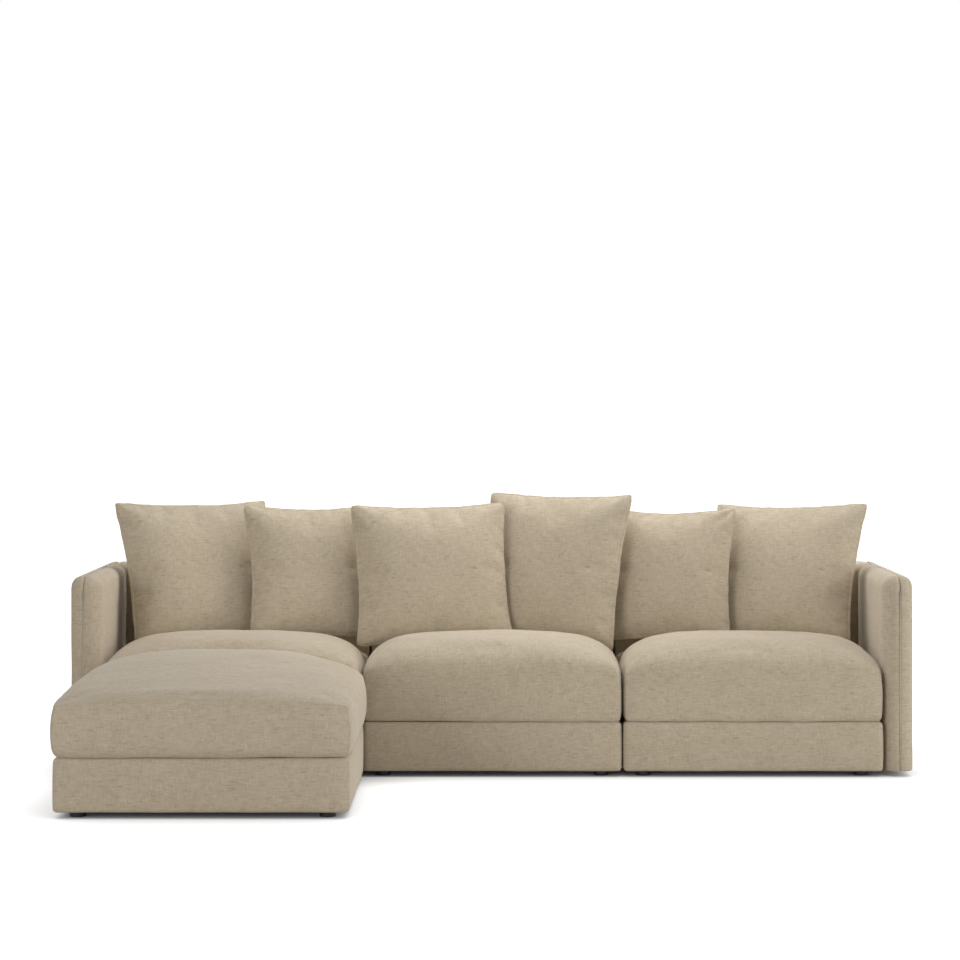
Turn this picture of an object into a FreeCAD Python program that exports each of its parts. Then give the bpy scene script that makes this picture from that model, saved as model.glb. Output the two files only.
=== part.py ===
import FreeCAD, Part
import math
import os
import re

import Sketcher

Vector = FreeCAD.Vector
Rotation = FreeCAD.Rotation

# Driving sizes in millimetres, angles in degrees
SIZES = {
    "module_width": 900,
    "module_gap": 6,
    "sofa_depth": 930,
    "back_thickness": 200,
    "back_height": 690,
    "ground_clearance": 20,
    "base_top": 190,
    "footstool_width": 920,
    "footstool_depth": 920,
    "footstool_gap": 22,
    "arm_inner": 54,
    "arm_outer": 46,
    "arm_corner": 46,
    "arm_outer_round": 34,
    "arm_inner_round": 38,
    "seam_bevel": 6,
    "piping_radius": 3,
    "border_round": 12,
    "border_bevel": 8,
    "back_round": 36,
    "cover_wall": 18,
    "deck_thickness": 12,
    "rail_thickness": 25,
    "corner_block": 58,
    "webbing_width": 50,
    "webbing_thickness": 2,
    "dust_thickness": 1.5,
    "panel_thickness": 24,
    "panel_margin": 60,
    "panel_rail": 90,
    "foot_radius": 27.5,
    "foot_taper": 2.5,
    "foot_inset": 70,
    "stud_radius": 4,
    "stud_length": 45,
    "bolt_radius": 4,
    "bolt_head_radius": 7.5,
    "bolt_head_height": 5.5,
    "bolt_level": 105,
    "bolt_inset": 180,
    "plate_length": 120,
    "plate_width": 30,
    "plate_thickness": 3,
    "plate_inset": 150,
    "screw_radius": 2.5,
    "screw_head_radius": 4.5,
    "screw_head_height": 2.5,
    "screw_length": 40,
    "bore_clearance": 0.3,
    "soft_clearance": 0.3,
    "cushion_bulge": 8,
    "cushion_gap": 2,
    "cushion_corner": 38,
    "cushion_tuck": 10,
    "seat_rim": 350,
    "rim_lift": 28,
    "seat_crown": 478,
    "seat_dip": 84,
    "crown_forward": 50,
    "footstool_crown": 472,
    "foam_wrap": 22,
    "foam_bevel": 235,
    "large_width": 580,
    "large_height": 556,
    "large_thickness": 160,
    "front_width": 575,
    "front_height": 530,
    "front_thickness": 160,
    "upright_width": 560,
    "upright_height": 590,
    "upright_thickness": 160,
    "small_width": 480,
    "small_height": 500,
    "small_thickness": 145,
    "seam_draw": 17,
}

# Places worked out from the driving sizes
PLACES = {
    "total_depth": "cushion_bulge + footstool_depth + footstool_gap + sofa_depth",
    "sofa_back": "total_depth / 2",
    "sofa_front": "sofa_back - sofa_depth",
    "sofa_middle": "sofa_back - sofa_depth / 2",
    "back_front": "sofa_back - back_thickness",
    "base_depth": "sofa_depth - back_thickness - soft_clearance",
    "base_middle": "sofa_front + base_depth / 2",
    "footstool_middle": "sofa_front - footstool_gap - footstool_depth / 2",
    "module_body": "module_width - module_gap",
    "arm_inner_face": "1.5 * module_width",
    "arm_seam": "arm_inner_face + arm_inner",
    "border_height": "base_top - ground_clearance",
    "deck_underside": "base_top - deck_thickness",
    "rail_top": "deck_underside - 2 * webbing_thickness",
    "rail_bottom": "ground_clearance + dust_thickness",
    "frame_inset": "cover_wall + rail_thickness",
    "seat_bottom": "base_top + soft_clearance",
    "seat_width": "module_width - cushion_gap - 2 * cushion_bulge",
    "seat_depth": "base_depth - 2 * cushion_bulge",
    "upright": "back_height - ground_clearance",
    "panel_slot": "panel_thickness / 2 + soft_clearance",
    "back_panel_plane": "sofa_back - back_thickness / 2",
    "panel_top": "back_height - panel_margin",
    "panel_foot": "ground_clearance + panel_margin / 2",
}

# Scatter cushions from the left: size, place along the width in modules, how far forward, turn, lean, roll
SCATTER = (
    ("large", -1.195, 0, 21, 21, 0),
    ("small", -0.738, 60, 14, 18, -1),
    ("front", -0.244, 110, 8, 17, 1),
    ("upright", 0.25, 0, -20, 17, 0),
    ("small", 0.72, 34, -14, 18, 1),
    ("large", 1.19, 0, -21, 21, 1),
)
# Rows of a pillow's insert: reach as a share of its half size, rise as a share of its half thickness
INSERT_ROWS = ((0.28, 0.84), (0.60, 0.54), (0.84, 0.12))
# Rows of a pillow half: corner and side reach and rise, as shares of the half size and half thickness
PILLOW_ROWS = (
    (0.92, 0.915, 0.22),
    (0.83, 0.87, 0.44),
    (0.66, 0.77, 0.71),
    (0.42, 0.57, 0.92),
    (0.16, 0.22, 1.00),
)
PILLOW_STEPS = 6
BORDER_ROWS = 4
CROWN_ROWS = 5
CROWN_REACH = 0.88
CAP_REACH = 1 - CROWN_REACH
DIP_REACH = 0.4
CORNER_STEPS = 3
SIDE_STEPS = 4
STRAPS_ACROSS = 5
STRAPS_ALONG = 6
SETTLE_STEPS = 30
ROD_SIDES = 8
FOOT_SIDES = 24
FLATNESS = 1e-6
SAME_PLANE = 0.01

doc = FreeCAD.newDocument("SofaWithFootstool")
nodes = {}


def cells(formula):
    """Returns a formula with its plain names turned into sheet cells."""

    def cell(match):
        word = match.group()
        if word in SIZES:
            return f"Sizes.{word}"
        return f"Places.{word}" if word in PLACES else word

    return re.sub(r"[a-z_]+", cell, formula)


def make_sheet(name, rows):
    """Adds a sheet with one aliased cell per row."""
    sheet = doc.addObject("Spreadsheet::Sheet", name)
    for row, (alias, content) in enumerate(rows.items(), start=1):
        sheet.set(f"A{row}", alias)
        sheet.set(f"B{row}", content)
        sheet.setAlias(f"B{row}", alias)
    doc.recompute()
    return sheet


sizes = make_sheet("Sizes", {name: str(value) for name, value in SIZES.items()})
places = make_sheet("Places", {name: f"={cells(formula)}" for name, formula in PLACES.items()})


def keep(label, item):
    """Names a finished sub-part, which is written to the file of that name."""
    item.Label = label
    nodes[label] = item
    return item


def place(item, x="0", y="0", z="0"):
    for axis, formula in zip("xyz", (x, y, z)):
        item.setExpression(f"Placement.Base.{axis}", cells(formula))
    return item


def block(name, x, y, z):
    """A box between a low and a high formula on each axis."""
    box = doc.addObject("Part::Box", name)
    for prop, (low, high) in zip(("Length", "Width", "Height"), (x, y, z)):
        box.setExpression(prop, cells(f"({high}) - ({low})"))
    return place(box, x[0], y[0], z[0])


TURNS = {
    "x": Rotation(Vector(0, 1, 0), 90),
    "-x": Rotation(Vector(0, 1, 0), -90),
    "y": Rotation(Vector(1, 0, 0), -90),
    "-y": Rotation(Vector(1, 0, 0), 90),
    "z": Rotation(),
}
OPPOSITE = {"x": "-x", "-x": "x", "y": "-y"}


def rod(name, along, base, radius, length):
    """A hidden rod or bore of a few flat sides, from a base point along an axis."""
    bar = doc.addObject("Part::Prism", name)
    bar.Polygon = ROD_SIDES
    bar.Placement.Rotation = TURNS[along]
    bar.setExpression("Circumradius", cells(radius))
    bar.setExpression("Height", cells(length))
    return place(bar, *base)


def disc(name, spot, radius):
    """The outline of a round foot, of many sides."""
    outline = doc.addObject("Part::RegularPolygon", name)
    outline.Polygon = FOOT_SIDES
    outline.setExpression("Circumradius", cells(radius))
    return place(outline, *spot)


def bolt(name, along, head, shank):
    """A hexagon-headed bolt whose head stands on the point where its shank starts."""
    shaft = rod(f"{name}_shank", along, head, "bolt_radius", shank)
    cap = doc.addObject("Part::Prism", f"{name}_head")
    cap.Polygon = 6
    cap.Placement.Rotation = TURNS[OPPOSITE[along]]
    cap.setExpression("Circumradius", cells("bolt_head_radius"))
    cap.setExpression("Height", cells("bolt_head_height"))
    place(cap, *head)
    return fuse(name, [shaft, cap])


def fuse(name, members):
    whole = doc.addObject("Part::MultiFuse", name)
    whole.Shapes = members
    return whole


def group(name, members):
    """Separate solids under one name."""
    whole = doc.addObject("Part::Compound", name)
    whole.Links = members
    return whole


def cut(name, base, tools):
    if not tools:
        return base
    result = doc.addObject("Part::Cut", name)
    result.Base = base
    result.Tool = group(f"{name}_bores", tools)
    return result


def body_at(name, x, y, z):
    return place(doc.addObject("PartDesign::Body", name), x, y, z)


def sketch_on(body, name, role="XY_Plane", level="0"):
    """A sketch on one of the body's own origin planes, raised by a formula."""
    sketch = body.newObject("Sketcher::SketchObject", name)
    plane = next(item for item in body.Origin.OriginFeatures if item.Role == role)
    sketch.AttachmentSupport = [(plane, "")]
    sketch.MapMode = "FlatFace"
    sketch.setExpression("AttachmentOffset.Base.z", cells(level))
    return sketch


def drive(sketch, kind, *places_and_formula):
    """Adds a dimension whose value follows a formula."""
    *spots, guess, formula = places_and_formula
    index = sketch.addConstraint(Sketcher.Constraint(kind, *spots, guess))
    sketch.setExpression(f"Constraints[{index}]", cells(formula))


def line(ax, ay, bx, by):
    return Part.LineSegment(Vector(ax, ay, 0), Vector(bx, by, 0))


def corner_arc(x, y, radius, start):
    circle = Part.Circle(Vector(x, y, 0), Vector(0, 0, 1), radius)
    return Part.ArcOfCircle(circle, math.radians(start), math.radians(start + 90))


def rectangle(sketch, width, depth):
    """A rectangle about the sketch's origin."""
    wide, deep = 100, 80
    spots = ((-wide, -deep), (wide, -deep), (wide, deep), (-wide, deep))
    for start, end in zip(spots, spots[1:] + spots[:1]):
        sketch.addGeometry(line(*start, *end), False)
    rules = [Sketcher.Constraint("Coincident", side, 2, (side + 1) % 4, 1) for side in range(4)]
    rules += [Sketcher.Constraint("Horizontal", side) for side in (0, 2)]
    rules += [Sketcher.Constraint("Vertical", side) for side in (1, 3)]
    rules.append(Sketcher.Constraint("Symmetric", 0, 1, 1, 2, -1, 1))
    sketch.addConstraint(rules)
    drive(sketch, "DistanceX", 0, 1, 0, 2, 2.0 * wide, width)
    drive(sketch, "DistanceY", 1, 1, 1, 2, 2.0 * deep, depth)
    return sketch


def rounded_rectangle(sketch, width, depth, radius):
    """A rectangle with round corners about the sketch's origin."""
    wide, deep, bend = 100, 80, 20
    near, far = wide - bend, deep - bend
    sides = (
        (-near, -deep, near, -deep),
        (wide, -far, wide, far),
        (near, deep, -near, deep),
        (-wide, far, -wide, -far),
    )
    for spots in sides:
        sketch.addGeometry(line(*spots), False)
    for x, y, start in ((near, -far, -90), (near, far, 0), (-near, far, 90), (-near, -far, 180)):
        sketch.addGeometry(corner_arc(x, y, bend, start), False)
    rules = []
    for side in range(4):
        rules.append(Sketcher.Constraint("Tangent", side, 2, side + 4, 1))
        rules.append(Sketcher.Constraint("Tangent", side + 4, 2, (side + 1) % 4, 1))
    rules += [Sketcher.Constraint("Horizontal", side) for side in (0, 2)]
    rules += [Sketcher.Constraint("Vertical", side) for side in (1, 3)]
    rules += [Sketcher.Constraint("Equal", 4, arc) for arc in (5, 6, 7)]
    rules.append(Sketcher.Constraint("Symmetric", 0, 1, 2, 1, -1, 1))
    sketch.addConstraint(rules)
    drive(sketch, "DistanceX", 3, 1, 1, 1, 2.0 * wide, width)
    drive(sketch, "DistanceY", 0, 1, 2, 1, 2.0 * deep, depth)
    drive(sketch, "Radius", 4, float(bend), radius)
    return sketch


def side_profile(sketch, depth, height, radius):
    """An upright panel's side outline: a flat foot on the sketch's axis and round top corners."""
    half, tall, bend = 100, 150, 20
    near, below = half - bend, tall - bend
    sides = (
        (-half, 0, half, 0),
        (half, 0, half, below),
        (near, tall, -near, tall),
        (-half, below, -half, 0),
    )
    for spots in sides:
        sketch.addGeometry(line(*spots), False)
    sketch.addGeometry(corner_arc(near, below, bend, 0), False)
    sketch.addGeometry(corner_arc(-near, below, bend, 90), False)
    rules = [
        Sketcher.Constraint("Coincident", 0, 2, 1, 1),
        Sketcher.Constraint("Coincident", 3, 2, 0, 1),
        Sketcher.Constraint("Tangent", 1, 2, 4, 1),
        Sketcher.Constraint("Tangent", 4, 2, 2, 1),
        Sketcher.Constraint("Tangent", 2, 2, 5, 1),
        Sketcher.Constraint("Tangent", 5, 2, 3, 1),
        Sketcher.Constraint("Vertical", 1),
        Sketcher.Constraint("Vertical", 3),
        Sketcher.Constraint("Horizontal", 2),
        Sketcher.Constraint("Equal", 4, 5),
        Sketcher.Constraint("Symmetric", 0, 1, 0, 2, -2),
        Sketcher.Constraint("PointOnObject", 0, 1, -1),
    ]
    sketch.addConstraint(rules)
    drive(sketch, "DistanceX", 0, 1, 0, 2, 2.0 * half, depth)
    drive(sketch, "DistanceY", 0, 1, 2, 1, float(tall), height)
    drive(sketch, "Radius", 4, float(bend), radius)
    return sketch


def cord_section(sketch, radius, height):
    """A regular eight-sided outline about a point on the sketch's upright axis."""
    reach = 10
    sides = 8
    spots = []
    for number in range(sides):
        angle = 2 * math.pi * (number + 0.5) / sides
        spots.append((reach * math.cos(angle), reach * math.sin(angle)))
    for start, end in zip(spots, spots[1:] + spots[:1]):
        sketch.addGeometry(line(*start, *end), False)
    circle = sketch.addGeometry(Part.Circle(Vector(0, 0, 0), Vector(0, 0, 1), reach), True)
    rules = [Sketcher.Constraint("Coincident", side, 2, (side + 1) % sides, 1) for side in range(sides)]
    rules += [Sketcher.Constraint("PointOnObject", side, 1, circle) for side in range(sides)]
    rules += [Sketcher.Constraint("Equal", 0, side) for side in range(1, sides)]
    rules.append(Sketcher.Constraint("Horizontal", 1))
    rules.append(Sketcher.Constraint("PointOnObject", circle, 3, -2))
    sketch.addConstraint(rules)
    drive(sketch, "DistanceY", -1, 1, circle, 3, 0.0, height)
    drive(sketch, "Radius", circle, float(reach), radius)
    return sketch


def pad(body, name, profile, length, reverse=False):
    feature = body.newObject("PartDesign::Pad", name)
    feature.Profile = profile
    feature.Reversed = reverse
    feature.setExpression("Length", cells(length))
    doc.recompute()
    return feature


def pocket(body, name, profile, depth, reverse=False):
    """Cuts a pocket and makes sure that it took something away."""
    before = body.Shape.Volume
    feature = body.newObject("PartDesign::Pocket", name)
    feature.Profile = profile
    feature.Reversed = reverse
    feature.setExpression("Length", cells(depth))
    doc.recompute()
    if body.Shape.Volume >= before:
        raise RuntimeError(f"{body.Label}: {name} cuts nothing")
    return feature


def ease(body, name, base, wanted, kind, size):
    """Rounds or bevels the edges of a feature that a test picks out.

    Args:
        body: The body that holds the feature.
        name: The new feature's name.
        base: The feature with the edges.
        wanted: Says whether an edge is picked.
        kind: "Fillet" or "Chamfer".
        size: The formula of its radius or width.
    """
    picked = [f"Edge{number}" for number, edge in enumerate(base.Shape.Edges, start=1) if wanted(edge)]
    feature = body.newObject(f"PartDesign::{kind}", name)
    feature.Base = (base, picked)
    feature.setExpression("Radius" if kind == "Fillet" else "Size", cells(size))
    doc.recompute()
    return feature


def lies_at(edge, axis, level):
    """Whether the whole edge lies in one plane across an axis."""
    box = edge.BoundBox
    spans = {"x": (box.XMin, box.XMax), "y": (box.YMin, box.YMax), "z": (box.ZMin, box.ZMax)}
    low, high = spans[axis]
    return abs(low - level) < SAME_PLANE and abs(high - level) < SAME_PLANE


def above_foot(edge, plane):
    """Whether an edge of an upright panel lies in a plane across x, but not along the panel's foot."""
    return lies_at(edge, "x", plane) and not lies_at(edge, "z", 0)


def padded_block(name, x, y, width, depth, height):
    """A soft upright block on the base line: round upright edges and eased top edges."""
    body = body_at(name, x, y, "ground_clearance")
    outline = rounded_rectangle(sketch_on(body, f"{name}_plan"), width, depth, "border_round")
    solid = pad(body, f"{name}_block", outline, height)
    top = solid.Shape.BoundBox.ZMax
    ease(body, f"{name}_edge", solid, lambda edge: lies_at(edge, "z", top), "Chamfer", "border_bevel")
    return body


class Base:
    """One upholstered base: a padded border and deck over a timber frame, on four feet."""

    def __init__(self, prefix, x, y, width, depth):
        self.prefix, self.x, self.y, self.width, self.depth = prefix, x, y, width, depth
        self.wall_bores = []
        self.rail_bores = {"front": [], "back": [], "left": [], "right": []}
        self.sheet_bores = []

    def name(self, piece):
        return f"{self.prefix}_{piece}"

    def reach(self, axis, inset):
        """The low and high formula of the base on an axis, drawn in by an inset."""
        middle, extent = (self.x, self.width) if axis == "x" else (self.y, self.depth)
        return f"({middle}) - ({extent}) / 2 + ({inset})", f"({middle}) + ({extent}) / 2 - ({inset})"

    def corners(self, inset):
        return [(x, y) for x in self.reach("x", inset) for y in self.reach("y", inset)]

    def build(self):
        self.build_feet()
        self.build_cover()
        self.build_frame()
        self.build_webbing()
        self.build_dust_cover()

    def build_feet(self):
        """Four round glides, each with a stud that screws up into a corner block."""
        feet = []
        self.stud_bores = []
        for number, (x, y) in enumerate(self.corners("foot_inset")):
            glide = doc.addObject("Part::Loft", self.name(f"glide_{number}"))
            glide.Sections = [
                disc(self.name(f"sole_{number}"), (x, y, "0"), "foot_radius - foot_taper"),
                disc(self.name(f"collar_{number}"), (x, y, "ground_clearance"), "foot_radius"),
            ]
            glide.Solid = True
            glide.Ruled = True
            top = (x, y, "ground_clearance")
            stud = rod(self.name(f"stud_{number}"), "z", top, "stud_radius", "stud_length")
            feet.append(fuse(self.name(f"foot_{number}"), [glide, stud]))
            bore = ("stud_radius + bore_clearance", "stud_length + bore_clearance")
            self.stud_bores.append(rod(self.name(f"stud_bore_{number}"), "z", top, *bore))
        keep(self.name("feet"), group(self.name("feet_group"), feet))

    def build_cover(self):
        """The padded border and deck, open below."""
        label = self.name("base_cover")
        extent = (self.width, self.depth, "border_height")
        body = padded_block(f"{label}_shell", self.x, self.y, *extent)
        hollow = rectangle(
            sketch_on(body, f"{label}_hollow"),
            f"({self.width}) - 2 * cover_wall",
            f"({self.depth}) - 2 * cover_wall",
        )
        pocket(body, f"{label}_inside", hollow, "border_height - deck_thickness", reverse=True)
        keep(label, cut(f"{label}_cut", body, self.wall_bores))

    def build_frame(self):
        """Four rails and four corner blocks, the blocks bored for the feet."""
        outer_x, outer_y = self.reach("x", "cover_wall"), self.reach("y", "cover_wall")
        inner_x, inner_y = self.reach("x", "frame_inset"), self.reach("y", "frame_inset")
        high = ("rail_bottom", "rail_top + webbing_thickness")
        low = ("rail_bottom", "rail_top")
        rails = {
            "front": block(self.name("front_rail"), outer_x, (outer_y[0], inner_y[0]), high),
            "back": block(self.name("back_rail"), outer_x, (inner_y[1], outer_y[1]), high),
            "left": block(self.name("left_rail"), (outer_x[0], inner_x[0]), inner_y, low),
            "right": block(self.name("right_rail"), (inner_x[1], outer_x[1]), inner_y, low),
        }
        pieces = []
        for side, rail in rails.items():
            pieces.append(cut(self.name(f"{side}_rail_bored"), rail, self.rail_bores[side]))
        bores = iter(self.stud_bores)
        for end_x in (0, 1):
            for end_y in (0, 1):
                spans = []
                for inner, end in ((inner_x, end_x), (inner_y, end_y)):
                    if end == 0:
                        spans.append((inner[0], f"{inner[0]} + corner_block"))
                    else:
                        spans.append((f"{inner[1]} - corner_block", inner[1]))
                name = self.name(f"corner_block_{end_x}{end_y}")
                pieces.append(cut(f"{name}_bored", block(name, *spans, low), [next(bores)]))
        keep(self.name("base_frame"), group(self.name("frame_group"), pieces))

    def build_webbing(self):
        """Elastic straps across the rails, then straps along them on top."""
        x, y = self.reach("x", "cover_wall"), self.reach("y", "cover_wall")
        inner_x, inner_y = self.reach("x", "frame_inset"), self.reach("y", "frame_inset")
        lower = ("rail_top", "rail_top + webbing_thickness")
        upper = ("rail_top + webbing_thickness", "deck_underside")
        straps = []
        for number in range(STRAPS_ACROSS):
            middle = f"{inner_y[0]} + ({inner_y[1]} - ({inner_y[0]})) * {number + 0.5} / {STRAPS_ACROSS}"
            span = (f"{middle} - webbing_width / 2", f"{middle} + webbing_width / 2")
            straps.append(block(self.name(f"strap_across_{number}"), x, span, lower))
        for number in range(STRAPS_ALONG):
            middle = f"{inner_x[0]} + ({inner_x[1]} - ({inner_x[0]})) * {number + 0.5} / {STRAPS_ALONG}"
            span = (f"{middle} - webbing_width / 2", f"{middle} + webbing_width / 2")
            straps.append(block(self.name(f"strap_along_{number}"), span, y, upper))
        keep(self.name("webbing"), group(self.name("webbing_group"), straps))

    def build_dust_cover(self):
        """The thin cloth that closes the base from below."""
        label = self.name("dust_cover")
        inset = "cover_wall + soft_clearance"
        sheet = block(
            f"{label}_sheet",
            self.reach("x", inset),
            self.reach("y", inset),
            ("ground_clearance", "rail_bottom"),
        )
        keep(label, cut(f"{label}_cut", sheet, self.stud_bores + self.sheet_bores))


def add_solid(name, shape, pose=None):
    """Adds a shape made of flat faces, then places it."""
    feature = doc.addObject("Part::Feature", name)
    feature.Shape = shape
    feature.Placement = pose or FreeCAD.Placement()
    return feature


def flat_faces(points):
    """One face through points that lie in a plane, or else two triangles across four points."""
    normal = (points[1] - points[0]).cross(points[2] - points[0])
    if len(points) == 3 or abs(normal.dot(points[3] - points[0])) < FLATNESS * normal.Length:
        return [Part.Face(Part.makePolygon(points + points[:1]))]
    return flat_faces(points[:3]) + flat_faces([points[0], points[2], points[3]])


def skinned(rings):
    """A closed solid through rings of as many points each, with a flat face over the first and last ring."""
    faces = []
    for ring in (rings[0], rings[-1]):
        faces.append(Part.Face(Part.makePolygon(ring + ring[:1])))
    for lower, upper in zip(rings, rings[1:]):
        for spot in range(len(lower)):
            ahead = (spot + 1) % len(lower)
            faces += flat_faces([lower[spot], lower[ahead], upper[ahead], upper[spot]])
    shell = Part.Shell(faces)
    solid = Part.Solid(shell)
    return solid if solid.Volume > 0 else Part.Solid(shell.reversed())


def tapered_block(rows):
    """A solid of flat sides through level rectangles.

    Args:
        rows: Half width, half depth and level of each rectangle, from the lowest up.
    """
    rings = []
    for half_x, half_y, level in rows:
        corners = ((half_x, -half_y), (half_x, half_y), (-half_x, half_y), (-half_x, -half_y))
        rings.append([Vector(x, y, level) for x, y in corners])
    return skinned(rings)


class SeatCushion:
    """A loose seat cushion: a crowned cover with swelling sides over a bevelled block of foam."""

    def __init__(self, prefix, x, y, width, depth, crown, dip=0, forward=0):
        self.prefix, self.dip, self.forward = prefix, dip, forward
        self.spot = Vector(x, y, places.get("seat_bottom"))
        self.half_width, self.half_depth = width / 2, depth / 2
        self.rim = sizes.get("seat_rim") - self.spot.z
        self.crown = crown - self.spot.z

    def build(self):
        pose = FreeCAD.Placement(self.spot, Rotation())
        cover = skinned(self.rings()).cut(self.foam(sizes.get("soft_clearance")))
        keep(f"{self.prefix}_cover", add_solid(f"{self.prefix}_cover_shell", cover, pose))
        keep(f"{self.prefix}_foam", add_solid(f"{self.prefix}_foam_block", self.foam(0), pose))
        crown = [face for face in cover.Faces if face.BoundBox.ZMin > self.rim - FLATNESS]
        return Part.Compound(crown).translated(self.spot)

    def rings(self):
        """Rings up the border, which swells between its drawn-in seams, then in over the crown."""
        tuck, bulge = sizes.get("cushion_tuck"), sizes.get("cushion_bulge")
        rings = []
        for row in range(BORDER_ROWS + 1):
            share = row / BORDER_ROWS
            swell = (tuck + bulge) * (1 - (2 * share - 1) ** 2) - tuck
            rings.append(self.ring(swell, share, 0))
        for row in range(1, CROWN_ROWS + 1):
            rings.append(self.ring(-tuck, 1, row / CROWN_ROWS))
        return rings

    def ring(self, swell, height, inward):
        """One ring of points.

        Args:
            swell: How far the ring stands out from the cushion's nominal outline.
            height: Share of the border's height.
            inward: Share of the way up from the rim to the crown.
        """
        bend = sizes.get("cushion_corner")
        wide, deep = self.half_width + swell, self.half_depth + swell
        corners = []
        for quarter, (x, y) in enumerate(((1, -1), (1, 1), (-1, 1), (-1, -1))):
            middle = Vector(x * (wide - bend), y * (deep - bend), 0)
            corner = []
            for step in range(CORNER_STEPS + 1):
                angle = math.radians(90 * (quarter - 1 + step / CORNER_STEPS))
                corner.append(middle + Vector(math.cos(angle), math.sin(angle), 0) * bend)
            corners.append(corner)
        points = []
        for corner, ahead in zip(corners, corners[1:] + corners[:1]):
            side = ahead[0] - corner[-1]
            points += corner + [corner[-1] + side * (step / SIDE_STEPS) for step in range(1, SIDE_STEPS)]
        arch = 1 - (1 - inward) ** 2
        ring = []
        for point in points:
            lift = sizes.get("rim_lift") * (1 - (point.x / wide * point.y / deep) ** 2)
            edge = (self.rim + lift * height**2) * height
            plan = point * (1 - CROWN_REACH * inward) - Vector(0, self.forward * inward, 0)
            ring.append(Vector(plan.x, plan.y, edge + (self.crown - edge) * arch * self.pressed(plan.y)))
        return ring

    def pressed(self, y):
        """Returns the share of the crown's rise that is left where scatter cushions press on the back."""
        start = CAP_REACH * self.half_depth - self.forward
        share = min(max(y - start, 0) / (DIP_REACH * self.half_depth), 1)
        fall = share**2 * (3 - 2 * share)
        return 1 - fall * self.dip / (self.crown - self.rim)

    def foam(self, grow):
        """The foam block with its bevelled top, grown all round."""
        wrap, bevel = sizes.get("foam_wrap"), sizes.get("foam_bevel")
        inset = wrap - grow
        return tapered_block((
            (self.half_width - inset, self.half_depth - inset, inset / 2),
            (self.half_width - inset, self.half_depth - inset, self.rim - wrap),
            (self.half_width - inset - bevel, self.half_depth - inset - bevel, self.crown - self.dip - inset),
        ))


class BackRest:
    """The upright back of one module: a padded cover over a timber ladder frame."""

    def __init__(self, prefix, x_low, x_high):
        self.prefix, self.low, self.high = prefix, x_low, x_high
        self.bores = []

    def build(self):
        label = f"{self.prefix}_back_cover"
        body = body_at(f"{label}_shell", self.low, "back_panel_plane", "ground_clearance")
        outline = sketch_on(body, f"{label}_profile", "YZ_Plane")
        side_profile(outline, "back_thickness", "upright", "back_round")
        solid = pad(body, f"{label}_block", outline, f"({self.high}) - ({self.low})")
        end = solid.Shape.BoundBox.XLength
        bevel = ("Chamfer", "border_bevel")
        soft = ease(body, f"{label}_near_end", solid, lambda edge: above_foot(edge, 0), *bevel)
        ease(body, f"{label}_far_end", soft, lambda edge: above_foot(edge, end), *bevel)
        sleeve = block(
            f"{label}_sleeve",
            (f"{self.low} + panel_margin - soft_clearance", f"{self.high} - panel_margin + soft_clearance"),
            ("back_panel_plane - panel_slot", "back_panel_plane + panel_slot"),
            ("ground_clearance", "panel_top + soft_clearance"),
        )
        keep(label, cut(f"{label}_cut", body, [sleeve] + self.bores))
        self.build_frame()

    def build_frame(self):
        """Two posts and three rails in the sleeve, the lowest rail bored for the bolts."""
        name = f"{self.prefix}_back"
        x_low, x_high = f"{self.low} + panel_margin", f"{self.high} - panel_margin"
        y = ("back_panel_plane - panel_thickness / 2", "back_panel_plane + panel_thickness / 2")
        tall = ("panel_foot", "panel_top")
        pieces = [
            block(f"{name}_left_post", (x_low, f"{x_low} + panel_margin"), y, tall),
            block(f"{name}_right_post", (f"{x_high} - panel_margin", x_high), y, tall),
        ]
        between = (f"{x_low} + panel_margin", f"{x_high} - panel_margin")
        levels = {
            "low": "bolt_level",
            "middle": "(panel_top + bolt_level) / 2",
            "top": "panel_top - panel_rail / 2",
        }
        for level, height in levels.items():
            span = (f"{height} - panel_rail / 2", f"{height} + panel_rail / 2")
            rail = block(f"{name}_{level}_rail", between, y, span)
            pieces.append(cut(f"{name}_{level}_rail_bored", rail, self.bores if level == "low" else []))
        keep(f"{name}_frame", group(f"{name}_frame_group", pieces))


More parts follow.
